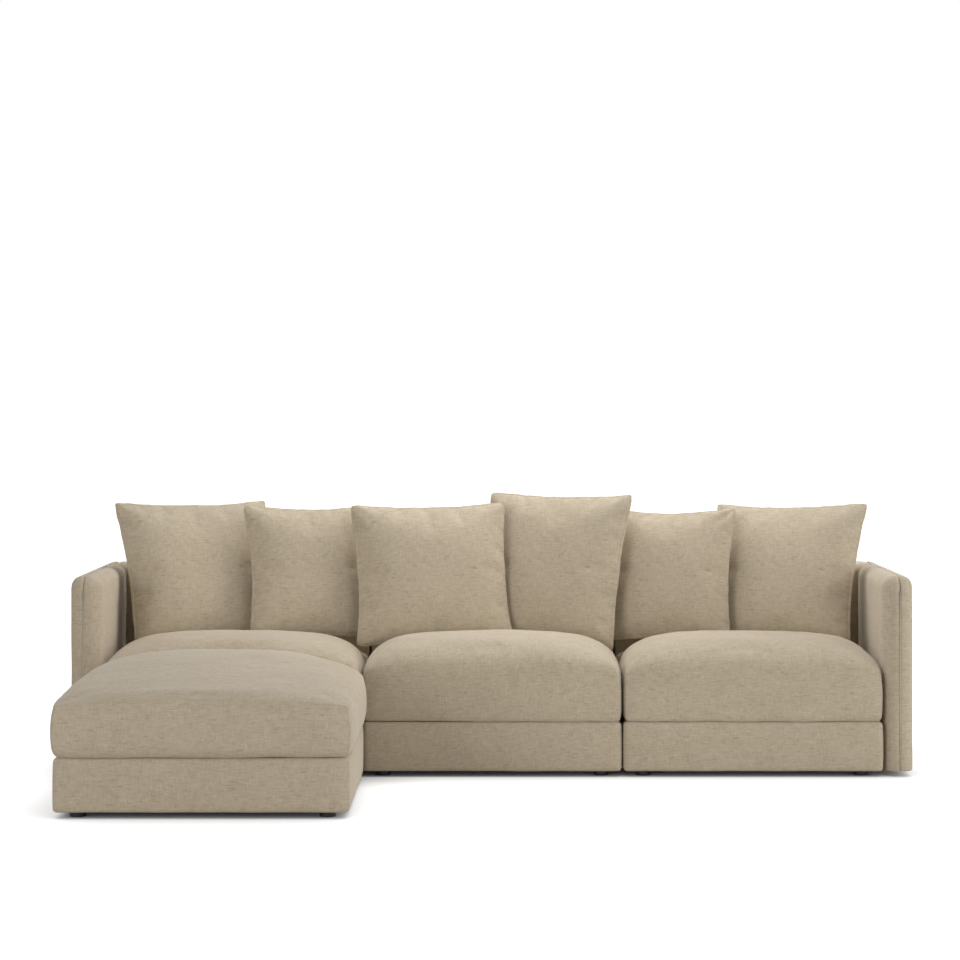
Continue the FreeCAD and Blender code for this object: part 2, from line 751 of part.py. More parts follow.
class Arm:
    """One arm: an outer panel and an inner pad on a timber panel, with piping along their seam."""

    def __init__(self, prefix, side):
        self.prefix, self.side = prefix, side
        self.bores = []

    def name(self, piece):
        return f"{self.prefix}_arm_{piece}"

    def build(self):
        self.build_shell("outer_panel", "sofa_depth", "sofa_middle", "arm_outer", "arm_outer_round", 1)
        self.build_shell("inner_pad", "base_depth", "base_middle", "arm_inner", "arm_inner_round", -1)
        self.build_panel()
        self.build_piping()

    def build_shell(self, piece, depth, middle, thickness, edge_round, outward):
        """A padded half of the arm, from the seam outward or inward, with a recess for the panel."""
        label = self.name(piece)
        body = body_at(f"{label}_shell", f"{self.side} * arm_seam", middle, "ground_clearance")
        facing = self.side * outward
        outline = sketch_on(body, f"{label}_profile", "YZ_Plane")
        side_profile(outline, depth, "upright", "arm_corner")
        solid = pad(body, f"{label}_block", outline, thickness, reverse=facing < 0)
        far = facing * solid.Shape.BoundBox.XLength
        soft = ease(body, f"{label}_edge", solid, lambda edge: above_foot(edge, far), "Fillet", edge_round)
        ease(body, f"{label}_seam_edge", soft, lambda edge: above_foot(edge, 0), "Chamfer", "seam_bevel")
        recess = block(
            f"{label}_recess",
            self.span("arm_seam - panel_slot", "arm_seam + panel_slot"),
            ("sofa_front + panel_margin - soft_clearance", "back_front - panel_margin + soft_clearance"),
            ("panel_foot - soft_clearance", "panel_top + soft_clearance"),
        )
        keep(label, cut(f"{label}_cut", body, [recess] + (self.bores if outward < 0 else [])))

    def span(self, near, far):
        """The low and high formula of a stretch across the arm, measured outward."""
        return (near, far) if self.side > 0 else (f"-({far})", f"-({near})")

    def build_panel(self):
        panel = block(
            self.name("panel"),
            self.span("arm_seam - panel_thickness / 2", "arm_seam + panel_thickness / 2"),
            ("sofa_front + panel_margin", "back_front - panel_margin"),
            ("panel_foot", "panel_top"),
        )
        keep(self.name("frame"), cut(self.name("panel_bored"), panel, self.bores))

    def build_piping(self):
        """A cord in the bevelled groove of the seam, up the front, over the corner and back along the top."""
        body = body_at(self.name("piping_cord"), f"{self.side} * arm_seam", "sofa_front", "ground_clearance")
        groove = "(sqrt(2) * (piping_radius + soft_clearance) - seam_bevel)"
        path = sketch_on(body, self.name("piping_path"), "YZ_Plane")
        tall, long, bend = 150, 100, 20
        path.addGeometry(line(0, 0, 0, tall - bend), False)
        path.addGeometry(line(bend, tall, long, tall), False)
        path.addGeometry(corner_arc(bend, tall - bend, bend, 90), False)
        path.addConstraint([
            Sketcher.Constraint("Tangent", 0, 2, 2, 2),
            Sketcher.Constraint("Tangent", 2, 1, 1, 1),
            Sketcher.Constraint("Vertical", 0),
            Sketcher.Constraint("Horizontal", 1),
        ])
        drive(path, "DistanceX", -1, 1, 0, 1, 0.0, f"-{groove}")
        drive(path, "DistanceY", -1, 1, 0, 1, 0.0, "border_round")
        drive(path, "DistanceY", -1, 1, 1, 2, float(tall), f"upright + {groove}")
        drive(path, "DistanceX", -1, 1, 1, 2, float(long), "base_depth - arm_corner")
        drive(path, "Radius", 2, float(bend), f"arm_corner + {groove}")
        section = sketch_on(body, self.name("piping_section"), level="border_round")
        cord_section(section, "piping_radius", f"-{groove}")
        doc.recompute()
        cord = body.newObject("PartDesign::AdditivePipe", self.name("piping_sweep"))
        cord.Profile = section
        cord.Spine = path
        doc.recompute()
        keep(self.name("piping"), body)


class ScatterCushion:
    """A knife-edged pillow: crowned on both sides, with drawn-in seams and peaked corners, over an insert."""

    def __init__(self, number, kind, share, forward, *angles):
        self.label = f"scatter_cushion_{number}"
        self.share, self.forward = share, forward
        self.turn, self.lean, self.roll = angles
        self.half_width = sizes.get(f"{kind}_width") / 2
        self.half_height = sizes.get(f"{kind}_height") / 2
        self.rise = sizes.get(f"{kind}_thickness") / 2

    def build(self, seats):
        """Builds the pillow on the given crowns of the seats."""
        shell = skinned(self.rings())
        pose = self.settle(seats)
        cover = shell.cut(self.insert(sizes.get("soft_clearance")))
        keep(f"{self.label}_cover", add_solid(f"{self.label}_shell", cover, pose))
        keep(f"{self.label}_insert", add_solid(f"{self.label}_pad", self.insert(0), pose))

    def rings(self):
        """Rings from the back's crown out to the seam and in again to the front's crown."""
        draw = sizes.get("seam_draw")
        seam = self.ring(1, (1 - draw / self.half_width, 1 - draw / self.half_height), 0)
        back = [self.ring(corner, (side, side), -rise) for corner, side, rise in reversed(PILLOW_ROWS)]
        front = [self.ring(corner, (side, side), rise) for corner, side, rise in PILLOW_ROWS]
        return back + [seam] + front

    def ring(self, corner, sides, rise):
        """One ring of points, bowed from corner to corner.

        Args:
            corner: How far out the corners lie, as a share of the half size.
            sides: How far out the middles of the sides lie, across and up.
            rise: Height above the seam as a share of the half thickness.
        """
        points = []
        for quarter in range(4):
            side = sides[quarter % 2]
            for step in range(PILLOW_STEPS):
                along = 2 * step / PILLOW_STEPS - 1
                x, y = corner + (side - corner) * (1 - along**2), along * corner
                for _ in range(quarter):
                    x, y = -y, x
                points.append(Vector(x * self.half_width, y * self.half_height, rise * self.rise))
        return points

    def insert(self, grow):
        """The insert's pad, grown all round."""
        rows = [(reach, -rise) for reach, rise in INSERT_ROWS]
        rows += [(reach, rise) for reach, rise in reversed(INSERT_ROWS)]
        levels = []
        for reach, rise in rows:
            level = self.rise * rise + math.copysign(grow, rise) * (reach == INSERT_ROWS[0][0])
            levels.append((self.half_width * reach + 2 * grow, self.half_height * reach + 2 * grow, level))
        return tapered_block(levels)

    def reach_behind(self, turn, height):
        """Returns how far the turned pillow reaches behind its middle, below the top of the back.

        Args:
            turn: The pillow's rotation.
            height: The height of its middle.
        """
        limit = sizes.get("back_height") - height
        rings = [[turn.multVec(point) for point in ring] for ring in self.rings()]
        edges = [edge for lower, upper in zip(rings, rings[1:]) for edge in zip(lower, upper)]
        for ring in rings:
            edges += zip(ring, ring[1:] + ring[:1])
        reach = [point.y for ring in rings for point in ring if point.z <= limit]
        for start, end in edges:
            if (start.z - limit) * (end.z - limit) < 0:
                share = (limit - start.z) / (end.z - start.z)
                reach.append(start.y + (end.y - start.y) * share)
        return max(reach)

    def settle(self, seats):
        """Leans the pillow against the back and lowers it until its lower rings just clear the seats."""
        clearance = sizes.get("soft_clearance")
        lean = Rotation(Vector(1, 0, 0), 90 - self.lean)
        turn = Rotation(Vector(0, 0, 1), self.turn) * lean * Rotation(Vector(0, 0, 1), self.roll)
        lower = []
        for ring in self.rings()[len(PILLOW_ROWS) - 2:len(PILLOW_ROWS) + 3]:
            lower.append([turn.multVec(point) for point in ring if point.y < 0])
        spot = Vector(self.share * sizes.get("module_width"), 0, sizes.get("seat_crown") + self.half_height)
        wanted = 2 * clearance
        for _ in range(SETTLE_STEPS):
            reach = self.reach_behind(turn, spot.z) + clearance + self.forward
            spot.y = places.get("back_front") - reach
            edges = Part.Compound([Part.makePolygon([point + spot for point in ring]) for ring in lower])
            room = min(edges.distToShape(seat)[0] for seat in seats)
            if abs(room - wanted) < clearance / 2:
                break
            spot.z += wanted - room
        return FreeCAD.Placement(spot, turn)


def build_joining_plates(bases):
    """Steel plates under the joints between modules, each held by two screws into the rails."""
    plates, screws = [], []
    for joint, (left, right) in enumerate(((bases[0], bases[1]), (bases[1], bases[2]))):
        x = f"{joint - 0.5} * module_width"
        for row, y in enumerate(("sofa_front + plate_inset", "back_front - plate_inset")):
            name = f"plate_{joint}{row}"
            plate = block(
                name,
                (f"{x} - plate_length / 2", f"{x} + plate_length / 2"),
                (f"{y} - plate_width / 2", f"{y} + plate_width / 2"),
                ("ground_clearance - plate_thickness", "ground_clearance"),
            )
            bores = []
            for base, side, rail in ((left, -1, "right"), (right, 1, "left")):
                across = f"{x} + {side} * (module_gap / 2 + cover_wall + rail_thickness / 2)"
                foot = (across, y, "ground_clearance - plate_thickness")
                room = ("screw_radius + bore_clearance", "screw_length + bore_clearance")
                bore = rod(f"{name}_{rail}_bore", "z", foot, *room)
                bores.append(bore)
                base.rail_bores[rail].append(bore)
                base.sheet_bores.append(bore)
                below = (across, y, "ground_clearance - plate_thickness - screw_head_height")
                shank = rod(f"{name}_{rail}_shank", "z", foot, "screw_radius", "screw_length")
                head = rod(f"{name}_{rail}_head", "z", below, "screw_head_radius", "screw_head_height")
                screws.append(fuse(f"{name}_{rail}_screw", [shank, head]))
            plates.append(cut(f"{name}_bored", plate, bores))
    keep("joining_plates", group("plate_group", plates))
    keep("joining_screws", group("screw_group", screws))


def build_back_bolts(bases, backs):
    """Bolts from inside each base through its back rail into the back's frame."""
    bolts = []
    for column, (base, back) in enumerate(zip(bases, backs)):
        for end, offset in enumerate(("-module_width / 2 + bolt_inset", "module_width / 2 - bolt_inset")):
            name = f"back_bolt_{column}{end}"
            head = (f"{base.x} + {offset}", "back_front - soft_clearance - frame_inset", "bolt_level")
            shank = "frame_inset + soft_clearance + back_thickness / 2 + panel_thickness / 2"
            bolts.append(bolt(name, "y", head, shank))
            room = ("bolt_radius + bore_clearance", f"{shank} + bore_clearance")
            bore = rod(f"{name}_bore", "y", head, *room)
            base.wall_bores.append(bore)
            base.rail_bores["back"].append(bore)
            back.bores.append(bore)
    keep("back_bolts", group("back_bolt_group", bolts))


def build_arm_bolts(bases, arms):
    """Bolts from inside the end bases through their side rails into the arm's panel."""
    bolts = []
    for base, arm in ((bases[0], arms[0]), (bases[2], arms[1])):
        rail = "left" if arm.side < 0 else "right"
        for end, y in enumerate(("sofa_front + bolt_inset", "back_front - bolt_inset")):
            name = f"{arm.prefix}_arm_bolt_{end}"
            head = (f"{arm.side} * (arm_inner_face - module_gap / 2 - frame_inset)", y, "bolt_level")
            shank = "frame_inset + module_gap / 2 + arm_inner + panel_thickness / 2"
            along = "-x" if arm.side < 0 else "x"
            bolts.append(bolt(name, along, head, shank))
            room = ("bolt_radius + bore_clearance", f"{shank} + bore_clearance")
            bore = rod(f"{name}_bore", along, head, *room)
            base.wall_bores.append(bore)
            base.rail_bores[rail].append(bore)
            arm.bores.append(bore)
    keep("arm_bolts", group("arm_bolt_group", bolts))


def build_sofa():
    """The three modules with their backs, the two arms and what joins them."""
    columns = (("left", -1), ("centre", 0), ("right", 1))
    bases = []
    backs = []
    for prefix, column in columns:
        middle = f"({column} * module_width)"
        bases.append(Base(prefix, middle, "base_middle", "module_body", "base_depth"))
        low, high = f"{middle} - module_body / 2", f"{middle} + module_body / 2"
        if column < 0:
            low = "-(arm_seam - soft_clearance)"
        if column > 0:
            high = "(arm_seam - soft_clearance)"
        backs.append(BackRest(prefix, low, high))
    arms = [Arm("left", -1), Arm("right", 1)]
    build_joining_plates(bases)
    build_back_bolts(bases, backs)
    build_arm_bolts(bases, arms)
    for piece in bases + backs + arms:
        piece.build()
    crowns = []
    for prefix, column in columns:
        middle = (column * sizes.get("module_width"), places.get("base_middle"))
        extent = (places.get("seat_width"), places.get("seat_depth"))
        form = [sizes.get(name) for name in ("seat_crown", "seat_dip", "crown_forward")]
        crowns.append(SeatCushion(f"{prefix}_seat", *middle, *extent, *form).build())
    return crowns


def build_footstool():
    """The footstool's base and its loose cushion."""
    Base("footstool", "-module_width", "footstool_middle", "footstool_width", "footstool_depth").build()
    middle = (-sizes.get("module_width"), places.get("footstool_middle"))
    extent = (sizes.get("footstool_width"), sizes.get("footstool_depth"))
    SeatCushion("footstool_cushion", *middle, *extent, sizes.get("footstool_crown")).build()


def write_parts():
    """Checks every object and writes each sub-part to its own file."""
    doc.recompute()
    for item in doc.Objects:
        if {"Invalid", "Error"} & set(item.State):
            raise RuntimeError(f"{item.Label} failed: {item.State}")
    for label, item in nodes.items():
        if item.Shape.isNull() or not item.Shape.isValid():
            raise RuntimeError(f"{label} has no valid shape")
    os.makedirs("parts", exist_ok=True)
    for label, item in nodes.items():
        item.Shape.exportStep(f"parts/{label}.step")


seat_crowns = build_sofa()
build_footstool()
doc.recompute()
for index, row in enumerate(SCATTER, start=1):
    ScatterCushion(index, *row).build(seat_crowns)
write_parts()
print(f"{len(nodes)} sub-parts written")
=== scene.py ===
"""Dresses the three-seater sofa and its footstool.

Makes the cushions, upholstery, piping, dust covers and webbing, gives the CAD nodes that stay
their finishes, and sets up the floor, the light and the camera.
"""

import logging
import math
from abc import ABC, abstractmethod
from contextlib import contextmanager
from dataclasses import dataclass, field
from enum import Enum
from typing import Callable, Iterable, Iterator, Sequence

import bmesh
import bpy
import numpy as np
from mathutils import Matrix, Vector, noise


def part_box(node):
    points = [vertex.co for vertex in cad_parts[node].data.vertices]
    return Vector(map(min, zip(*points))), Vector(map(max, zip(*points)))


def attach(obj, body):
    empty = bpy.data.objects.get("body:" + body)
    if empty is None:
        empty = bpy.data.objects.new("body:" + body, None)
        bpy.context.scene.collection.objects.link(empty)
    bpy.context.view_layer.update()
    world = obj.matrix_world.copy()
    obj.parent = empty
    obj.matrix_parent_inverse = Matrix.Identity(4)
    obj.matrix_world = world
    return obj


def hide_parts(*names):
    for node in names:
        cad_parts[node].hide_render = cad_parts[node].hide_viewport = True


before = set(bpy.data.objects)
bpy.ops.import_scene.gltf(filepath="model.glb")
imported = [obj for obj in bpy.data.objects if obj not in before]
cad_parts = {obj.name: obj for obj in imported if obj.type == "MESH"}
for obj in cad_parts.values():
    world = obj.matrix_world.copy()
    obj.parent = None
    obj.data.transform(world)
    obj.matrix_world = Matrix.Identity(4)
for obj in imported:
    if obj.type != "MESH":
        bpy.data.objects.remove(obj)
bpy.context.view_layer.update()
LOG = logging.getLogger("sofa")

WEAVE_MAP = "Weave"
SEAM_GROUP = "seam"
HEM_GROUP = "hem"
SIM_FRAMES = 20
NEAR = 1e-4  # within which two measures are one
MERGE = 1e-5  # within which two points are one
TINY = 1e-9  # keeps a division from failing
CROWDING = 1.4  # how far the points of a cushion crowd at its seams
FACING_DOWN = -0.99  # a downward face's normal stays below this on Z
FLUSH = 0.995  # share of the half size past which a point lies on an outer wall
WAVE_STEPS = (3.7, 1.3, 2.1)  # how far apart the patterns of two seeds lie
SHARP_ANGLE = math.radians(30)
WHITE = (1.0, 1.0, 1.0, 1.0)

Colour = tuple[float, float, float, float]
Triple = tuple[float, float, float]
Test = Callable[..., bool]


class Pick(Enum):
    """What a selection picks out of a mesh."""

    EDGES = "EDGE"
    FACES = "FACE"


class Axis(Enum):
    """The frame's axes."""

    X = 0
    Y = 1
    Z = 2


class Lay(Enum):
    """How the cloth's weave lies on a piece."""

    BOXED = "boxed"
    FLAT = "flat"


class PillowSize(Enum):
    """Width, height and thickness of each kind of scatter cushion."""

    LARGE = (0.580, 0.556, 0.160)
    FRONT = (0.575, 0.530, 0.160)
    UPRIGHT = (0.560, 0.590, 0.160)
    SMALL = (0.480, 0.500, 0.145)


@dataclass(frozen=True)
class Round:
    """A rounded edge: how far it reaches to each side, and in how many facets."""

    offset: float
    segments: int


@dataclass(frozen=True)
class Waves:
    """Uneven cloth: the furthest that a point moves, and the waves per metre."""

    amount: float
    scale: float


def activate(obj: bpy.types.Object) -> None:
    """Makes one object the only selected and the active one.

    Args:
        obj: The object.
    """
    bpy.ops.object.select_all(action="DESELECT")
    obj.select_set(True)
    bpy.context.view_layer.objects.active = obj


def within(**planes: float) -> Test:
    """A test for edges that lie in all the given planes, such as x=0.5."""
    return lambda edge: all(
        abs(getattr(point.co, axis) - at) < NEAR for axis, at in planes.items() for point in edge.verts
    )


def dome(across: np.ndarray, along: np.ndarray, across_power: float, along_power: float) -> np.ndarray:
    """A rise from the edges, at -1 and 1, to the middle, fuller with higher powers."""
    return np.clip((1 - np.abs(across) ** across_power) * (1 - np.abs(along) ** along_power), 0, 1)


class Sculpt:
    """A mesh piece under work, shaped with the edit tools and then point by point."""

    def __init__(self, obj: bpy.types.Object) -> None:
        """Takes up a mesh object."""
        self.obj = obj

    @classmethod
    def adopt(cls, name: str) -> "Sculpt":
        """Names the primitive just added and puts its place into its mesh.

        Args:
            name: The piece's name.

        Returns:
            The piece under work.
        """
        obj = bpy.context.object
        obj.name = obj.data.name = name
        bpy.ops.object.transform_apply(location=True, rotation=True, scale=True)
        return cls(obj)

    @classmethod
    def box(cls, name: str, low: Vector, high: Vector) -> "Sculpt":
        """Starts from a block between two corners.

        Args:
            name: The piece's name.
            low: Its lowest corner.
            high: Its highest corner.

        Returns:
            The block under work.
        """
        bpy.ops.object.select_all(action="DESELECT")
        bpy.ops.mesh.primitive_cube_add(size=1, location=(low + high) / 2)
        bpy.context.object.scale = high - low
        return cls.adopt(name)

    @classmethod
    def sheet(cls, name: str, faces: tuple[int, int], width: float, depth: float) -> "Sculpt":
        """Starts from a flat sheet about the origin.

        Args:
            name: The piece's name.
            faces: Faces across and along.
            width: Size on X.
            depth: Size on Y.

        Returns:
            The sheet under work.
        """
        bpy.ops.object.select_all(action="DESELECT")
        bpy.ops.mesh.primitive_grid_add(x_subdivisions=faces[0], y_subdivisions=faces[1], size=1)
        bpy.context.object.scale = (width, depth, 1)
        return cls.adopt(name)

    @contextmanager
    def editing(self) -> Iterator[None]:
        """Holds the piece in edit mode."""
        activate(self.obj)
        bpy.ops.object.mode_set(mode="EDIT")
        yield
        bpy.ops.object.mode_set(mode="OBJECT")

    def pick(self, kind: Pick, test: Test) -> None:
        """Selects what a test accepts, in edit mode.

        Args:
            kind: Edges or faces.
            test: Says whether one of them is wanted.
        """
        bpy.ops.mesh.select_mode(type=kind.value)
        bpy.ops.mesh.select_all(action="DESELECT")
        mesh = bmesh.from_edit_mesh(self.obj.data)
        items = mesh.edges if kind is Pick.EDGES else mesh.faces
        for item in [item for item in items if test(item)]:
            item.select_set(True)
        bmesh.update_edit_mesh(self.obj.data)

    def round_edges(self, shape: Round, test: Test) -> None:
        """Rounds the edges that a test accepts, in edit mode."""
        self.pick(Pick.EDGES, test)
        bpy.ops.mesh.bevel(
            offset=shape.offset, segments=shape.segments, profile=0.5, affect="EDGES", clamp_overlap=True
        )

    def slice(self, low: Vector, high: Vector, pitch: float, axes: Iterable[Axis]) -> None:
        """Cuts the faces evenly across some axes, in edit mode.

        Args:
            low: The piece's lowest corner.
            high: Its highest corner.
            pitch: About how far the cuts lie apart.
            axes: The axes that are cut across.
        """
        for axis in axes:
            normal = Vector((0, 0, 0))
            normal[axis.value] = 1
            start, end = low[axis.value], high[axis.value]
            count = max(2, round((end - start) / pitch))
            for step in range(1, count):
                spot = normal * (start + (end - start) * step / count)
                bpy.ops.mesh.select_mode(type="FACE")
                bpy.ops.mesh.select_all(action="SELECT")
                bpy.ops.mesh.bisect(plane_co=spot, plane_no=normal, use_fill=False)

    def points(self) -> np.ndarray:
        """Returns all points as rows."""
        found = np.empty(len(self.obj.data.vertices) * 3, np.float64)
        self.obj.data.vertices.foreach_get("co", found)
        return found.reshape(-1, 3)

    def set_points(self, rows: np.ndarray) -> None:
        """Puts all points in new places."""
        self.obj.data.vertices.foreach_set("co", rows.astype(np.float32).ravel())
        self.obj.data.update()

    def normals(self) -> np.ndarray:
        """Returns the point normals as rows."""
        return np.array([point.normal for point in self.obj.data.vertices], float)

    def modify(self, kind: str, **settings: object) -> None:
        """Adds a modifier and applies it.

        Args:
            kind: The modifier's type.
            **settings: Its settings.
        """
        activate(self.obj)
        modifier = self.obj.modifiers.new(kind.title(), kind)
        for name, value in settings.items():
            setattr(modifier, name, value)
        bpy.ops.object.modifier_apply(modifier=modifier.name)

    def refine(self, levels: int) -> None:
        """Subdivides the piece smoothly."""
        self.modify("SUBSURF", levels=levels, render_levels=levels)

    def soften(self, waves: Waves, seed: int) -> None:
        """Lets the cloth stand unevenly over its padding.

        Args:
            waves: How unevenly.
            seed: Which pattern of waves.
        """
        rows, normals = self.points(), self.normals()
        shift = Vector([seed * step for step in WAVE_STEPS])
        height = np.array([noise.noise(Vector(row) * waves.scale + shift) for row in rows])
        self.set_points(rows + normals * (height * waves.amount)[:, None])

    def mark(self, group: str, weights: np.ndarray) -> None:
        """Keeps in a group which points lie on a seam or a hem.

        Args:
            group: The group's name.
            weights: How far each point belongs to it, from 0 to 1.
        """
        kept = self.obj.vertex_groups.new(name=group)
        for index in np.flatnonzero(weights > 0):
            kept.add([int(index)], float(weights[index]), "REPLACE")

    def draw_in(self, group: str, depth: float, above: float = -math.inf) -> None:
        """Draws the points that belong at least half to a seam into the padding.

        Args:
            group: The seam's group of points.
            depth: How far they are drawn in.
            above: The height from which on it is done.
        """
        index = self.obj.vertex_groups[group].index
        weights = np.zeros(len(self.obj.data.vertices))
        for point in self.obj.data.vertices:
            for entry in point.groups:
                if entry.group == index and point.co.z > above:
                    weights[point.index] = max(entry.weight - 0.5, 0) * 2
        self.set_points(self.points() - self.normals() * (weights * depth)[:, None])

    def smooth_shade(self) -> None:
        """Shades the piece smoothly."""
        activate(self.obj)
        bpy.ops.object.shade_smooth()

    def lay_weave(self, lay: Lay) -> None:
        """Lays the weave's map on the piece in metres.

        Args:
            lay: From the nearest of the frame's axes, or flat from above.
        """
        mesh = self.obj.data
        for layer in list(mesh.uv_layers):
            mesh.uv_layers.remove(layer)
        layer = mesh.uv_layers.new(name=WEAVE_MAP)
        corner = np.empty(len(mesh.loops), np.int32)
        mesh.loops.foreach_get("vertex_index", corner)
        spots = self.points()[corner]
        if lay is Lay.FLAT:
            flat = spots[:, :2]
        else:
            count = np.empty(len(mesh.polygons), np.int32)
            mesh.polygons.foreach_get("loop_total", count)
            normal = np.empty(len(mesh.polygons) * 3, np.float32)
            mesh.polygons.foreach_get("normal", normal)
            facing = np.repeat(np.abs(normal.reshape(-1, 3)).argmax(1), count)[:, None]
            flat = np.where(facing == Axis.X.value, spots[:, [1, 2]], spots[:, [0, 2]])
            flat = np.where(facing == Axis.Z.value, spots[:, [0, 1]], flat)
        layer.uv.foreach_set("vector", flat.astype(np.float32).ravel())

    @classmethod
    def double_sheet(cls, name: str, faces: tuple[int, int], courses: int) -> "Sculpt":
        """Starts from two sheets, one above the other, joined by a border.

        Args:
            name: The piece's name.
            faces: Faces across and along.
            courses: Rows of faces in the border.

        Returns:
            A closed shell from -1 to 1 on each axis.
        """
        shell = cls.sheet(name, faces, 2, 2)
        rows = shell.points()
        rows[:, 2] = 1
        shell.set_points(rows)
        with shell.editing():
            bpy.ops.mesh.select_all(action="SELECT")
            bpy.ops.mesh.duplicate()
            bpy.ops.transform.resize(value=(1, 1, -1), center_override=(0, 0, 0))
            shell.pick(Pick.EDGES, lambda edge: edge.is_boundary)
            bpy.ops.mesh.bridge_edge_loops(number_cuts=courses - 1)
            bpy.ops.mesh.select_all(action="SELECT")
            bpy.ops.mesh.normals_make_consistent(inside=False)
        return shell


@dataclass(frozen=True)
class Filling:
    """How a cushion is stuffed, and how its cloth takes it."""

    pressure: float
    tension: float
    bending: float
    cap: float
    slack: float = 0.0

    def stuff(self, obj: bpy.types.Object) -> None:
        """Turns a shell into cloth under pressure, held at its seams.

        Args:
            obj: The shell's object.
        """
        cloth = obj.modifiers.new("Cloth", "CLOTH")
        settings = {
            "quality": 6,
            "mass": 0.3,
            "air_damping": 1.5,
            "tension_stiffness": self.tension,
            "compression_stiffness": self.tension,
            "shear_stiffness": self.tension / 3,
            "bending_stiffness": self.bending,
            "use_pressure": True,
            "uniform_pressure_force": self.pressure,
            "vertex_group_mass": SEAM_GROUP,
            "pin_stiffness": 1.0,
            "shrink_min": -self.slack,
        }
        for name, value in settings.items():
            setattr(cloth.settings, name, value)
        cloth.settings.effector_weights.gravity = 0
        cloth.collision_settings.use_collision = False
        cloth.point_cache.frame_start = 1
        cloth.point_cache.frame_end = SIM_FRAMES


def inflate(pieces: Sequence[tuple[Sculpt, Filling]]) -> None:
    """Blows up all the cushions side by side and keeps their settled shapes.

    Args:
        pieces: Each cushion's shell and its filling.
    """
    scene = bpy.context.scene
    scene.frame_start, scene.frame_end = 1, SIM_FRAMES
    for shell, filling in pieces:
        filling.stuff(shell.obj)
    for number in range(1, SIM_FRAMES + 1):
        scene.frame_set(number)
    for shell, filling in pieces:
        before = shell.points()
        activate(shell.obj)
        bpy.ops.object.modifier_apply(modifier="Cloth")
        moved = shell.points() - before
        length = np.linalg.norm(moved, axis=1, keepdims=True)
        shell.set_points(before + moved * np.minimum(1, filling.cap / np.maximum(length, TINY)))
        LOG.info("%s stuffed, moved up to %.0f mm", shell.obj.name, float(length.max()) * 1000)
    scene.frame_set(1)


class Wire:
    """A shader socket that takes part in sums."""

    def __init__(self, shader: "Shader", socket: bpy.types.NodeSocket) -> None:
        """Wraps a node's output socket."""
        self.shader, self.socket = shader, socket

    def _math(self, operation: str, first: object, second: object) -> "Wire":
        """Adds one sum."""
        return self.shader.node("ShaderNodeMath", {"operation": operation}, {0: first, 1: second}).out()

    def __add__(self, other: object) -> "Wire":
        """This plus another."""
        return self._math("ADD", self, other)

    def __sub__(self, other: object) -> "Wire":
        """This less another."""
        return self._math("SUBTRACT", self, other)

    def __rsub__(self, other: object) -> "Wire":
        """Another less this."""
        return self._math("SUBTRACT", other, self)

    def __mul__(self, other: object) -> "Wire":
        """This times another."""
        return self._math("MULTIPLY", self, other)

    __radd__ = __add__
    __rmul__ = __mul__

    def sine(self) -> "Wire":
        """The sine of this."""
        return self._math("SINE", self, 0.0)

    def between(self, low: float, high: float) -> "Wire":
        """How far this lies from low to high, kept within 0 and 1."""
        values = {"Value": self, "From Min": low, "From Max": high}
        return self.shader.node("ShaderNodeMapRange", {"clamp": True}, values).out()


@dataclass
class Step:
    """A node that was added, and the shader that it is in."""

    shader: "Shader"
    node: bpy.types.Node

    def out(self, name: str | int = 0) -> Wire:
        """One of the node's outputs."""
        return Wire(self.shader, self.node.outputs[name])


@dataclass(frozen=True)
class Grain:
    """A noise: its waves per metre on each axis, its finer octaves and where it starts."""

    scale: Triple
    detail: float
    start: float = 0.0


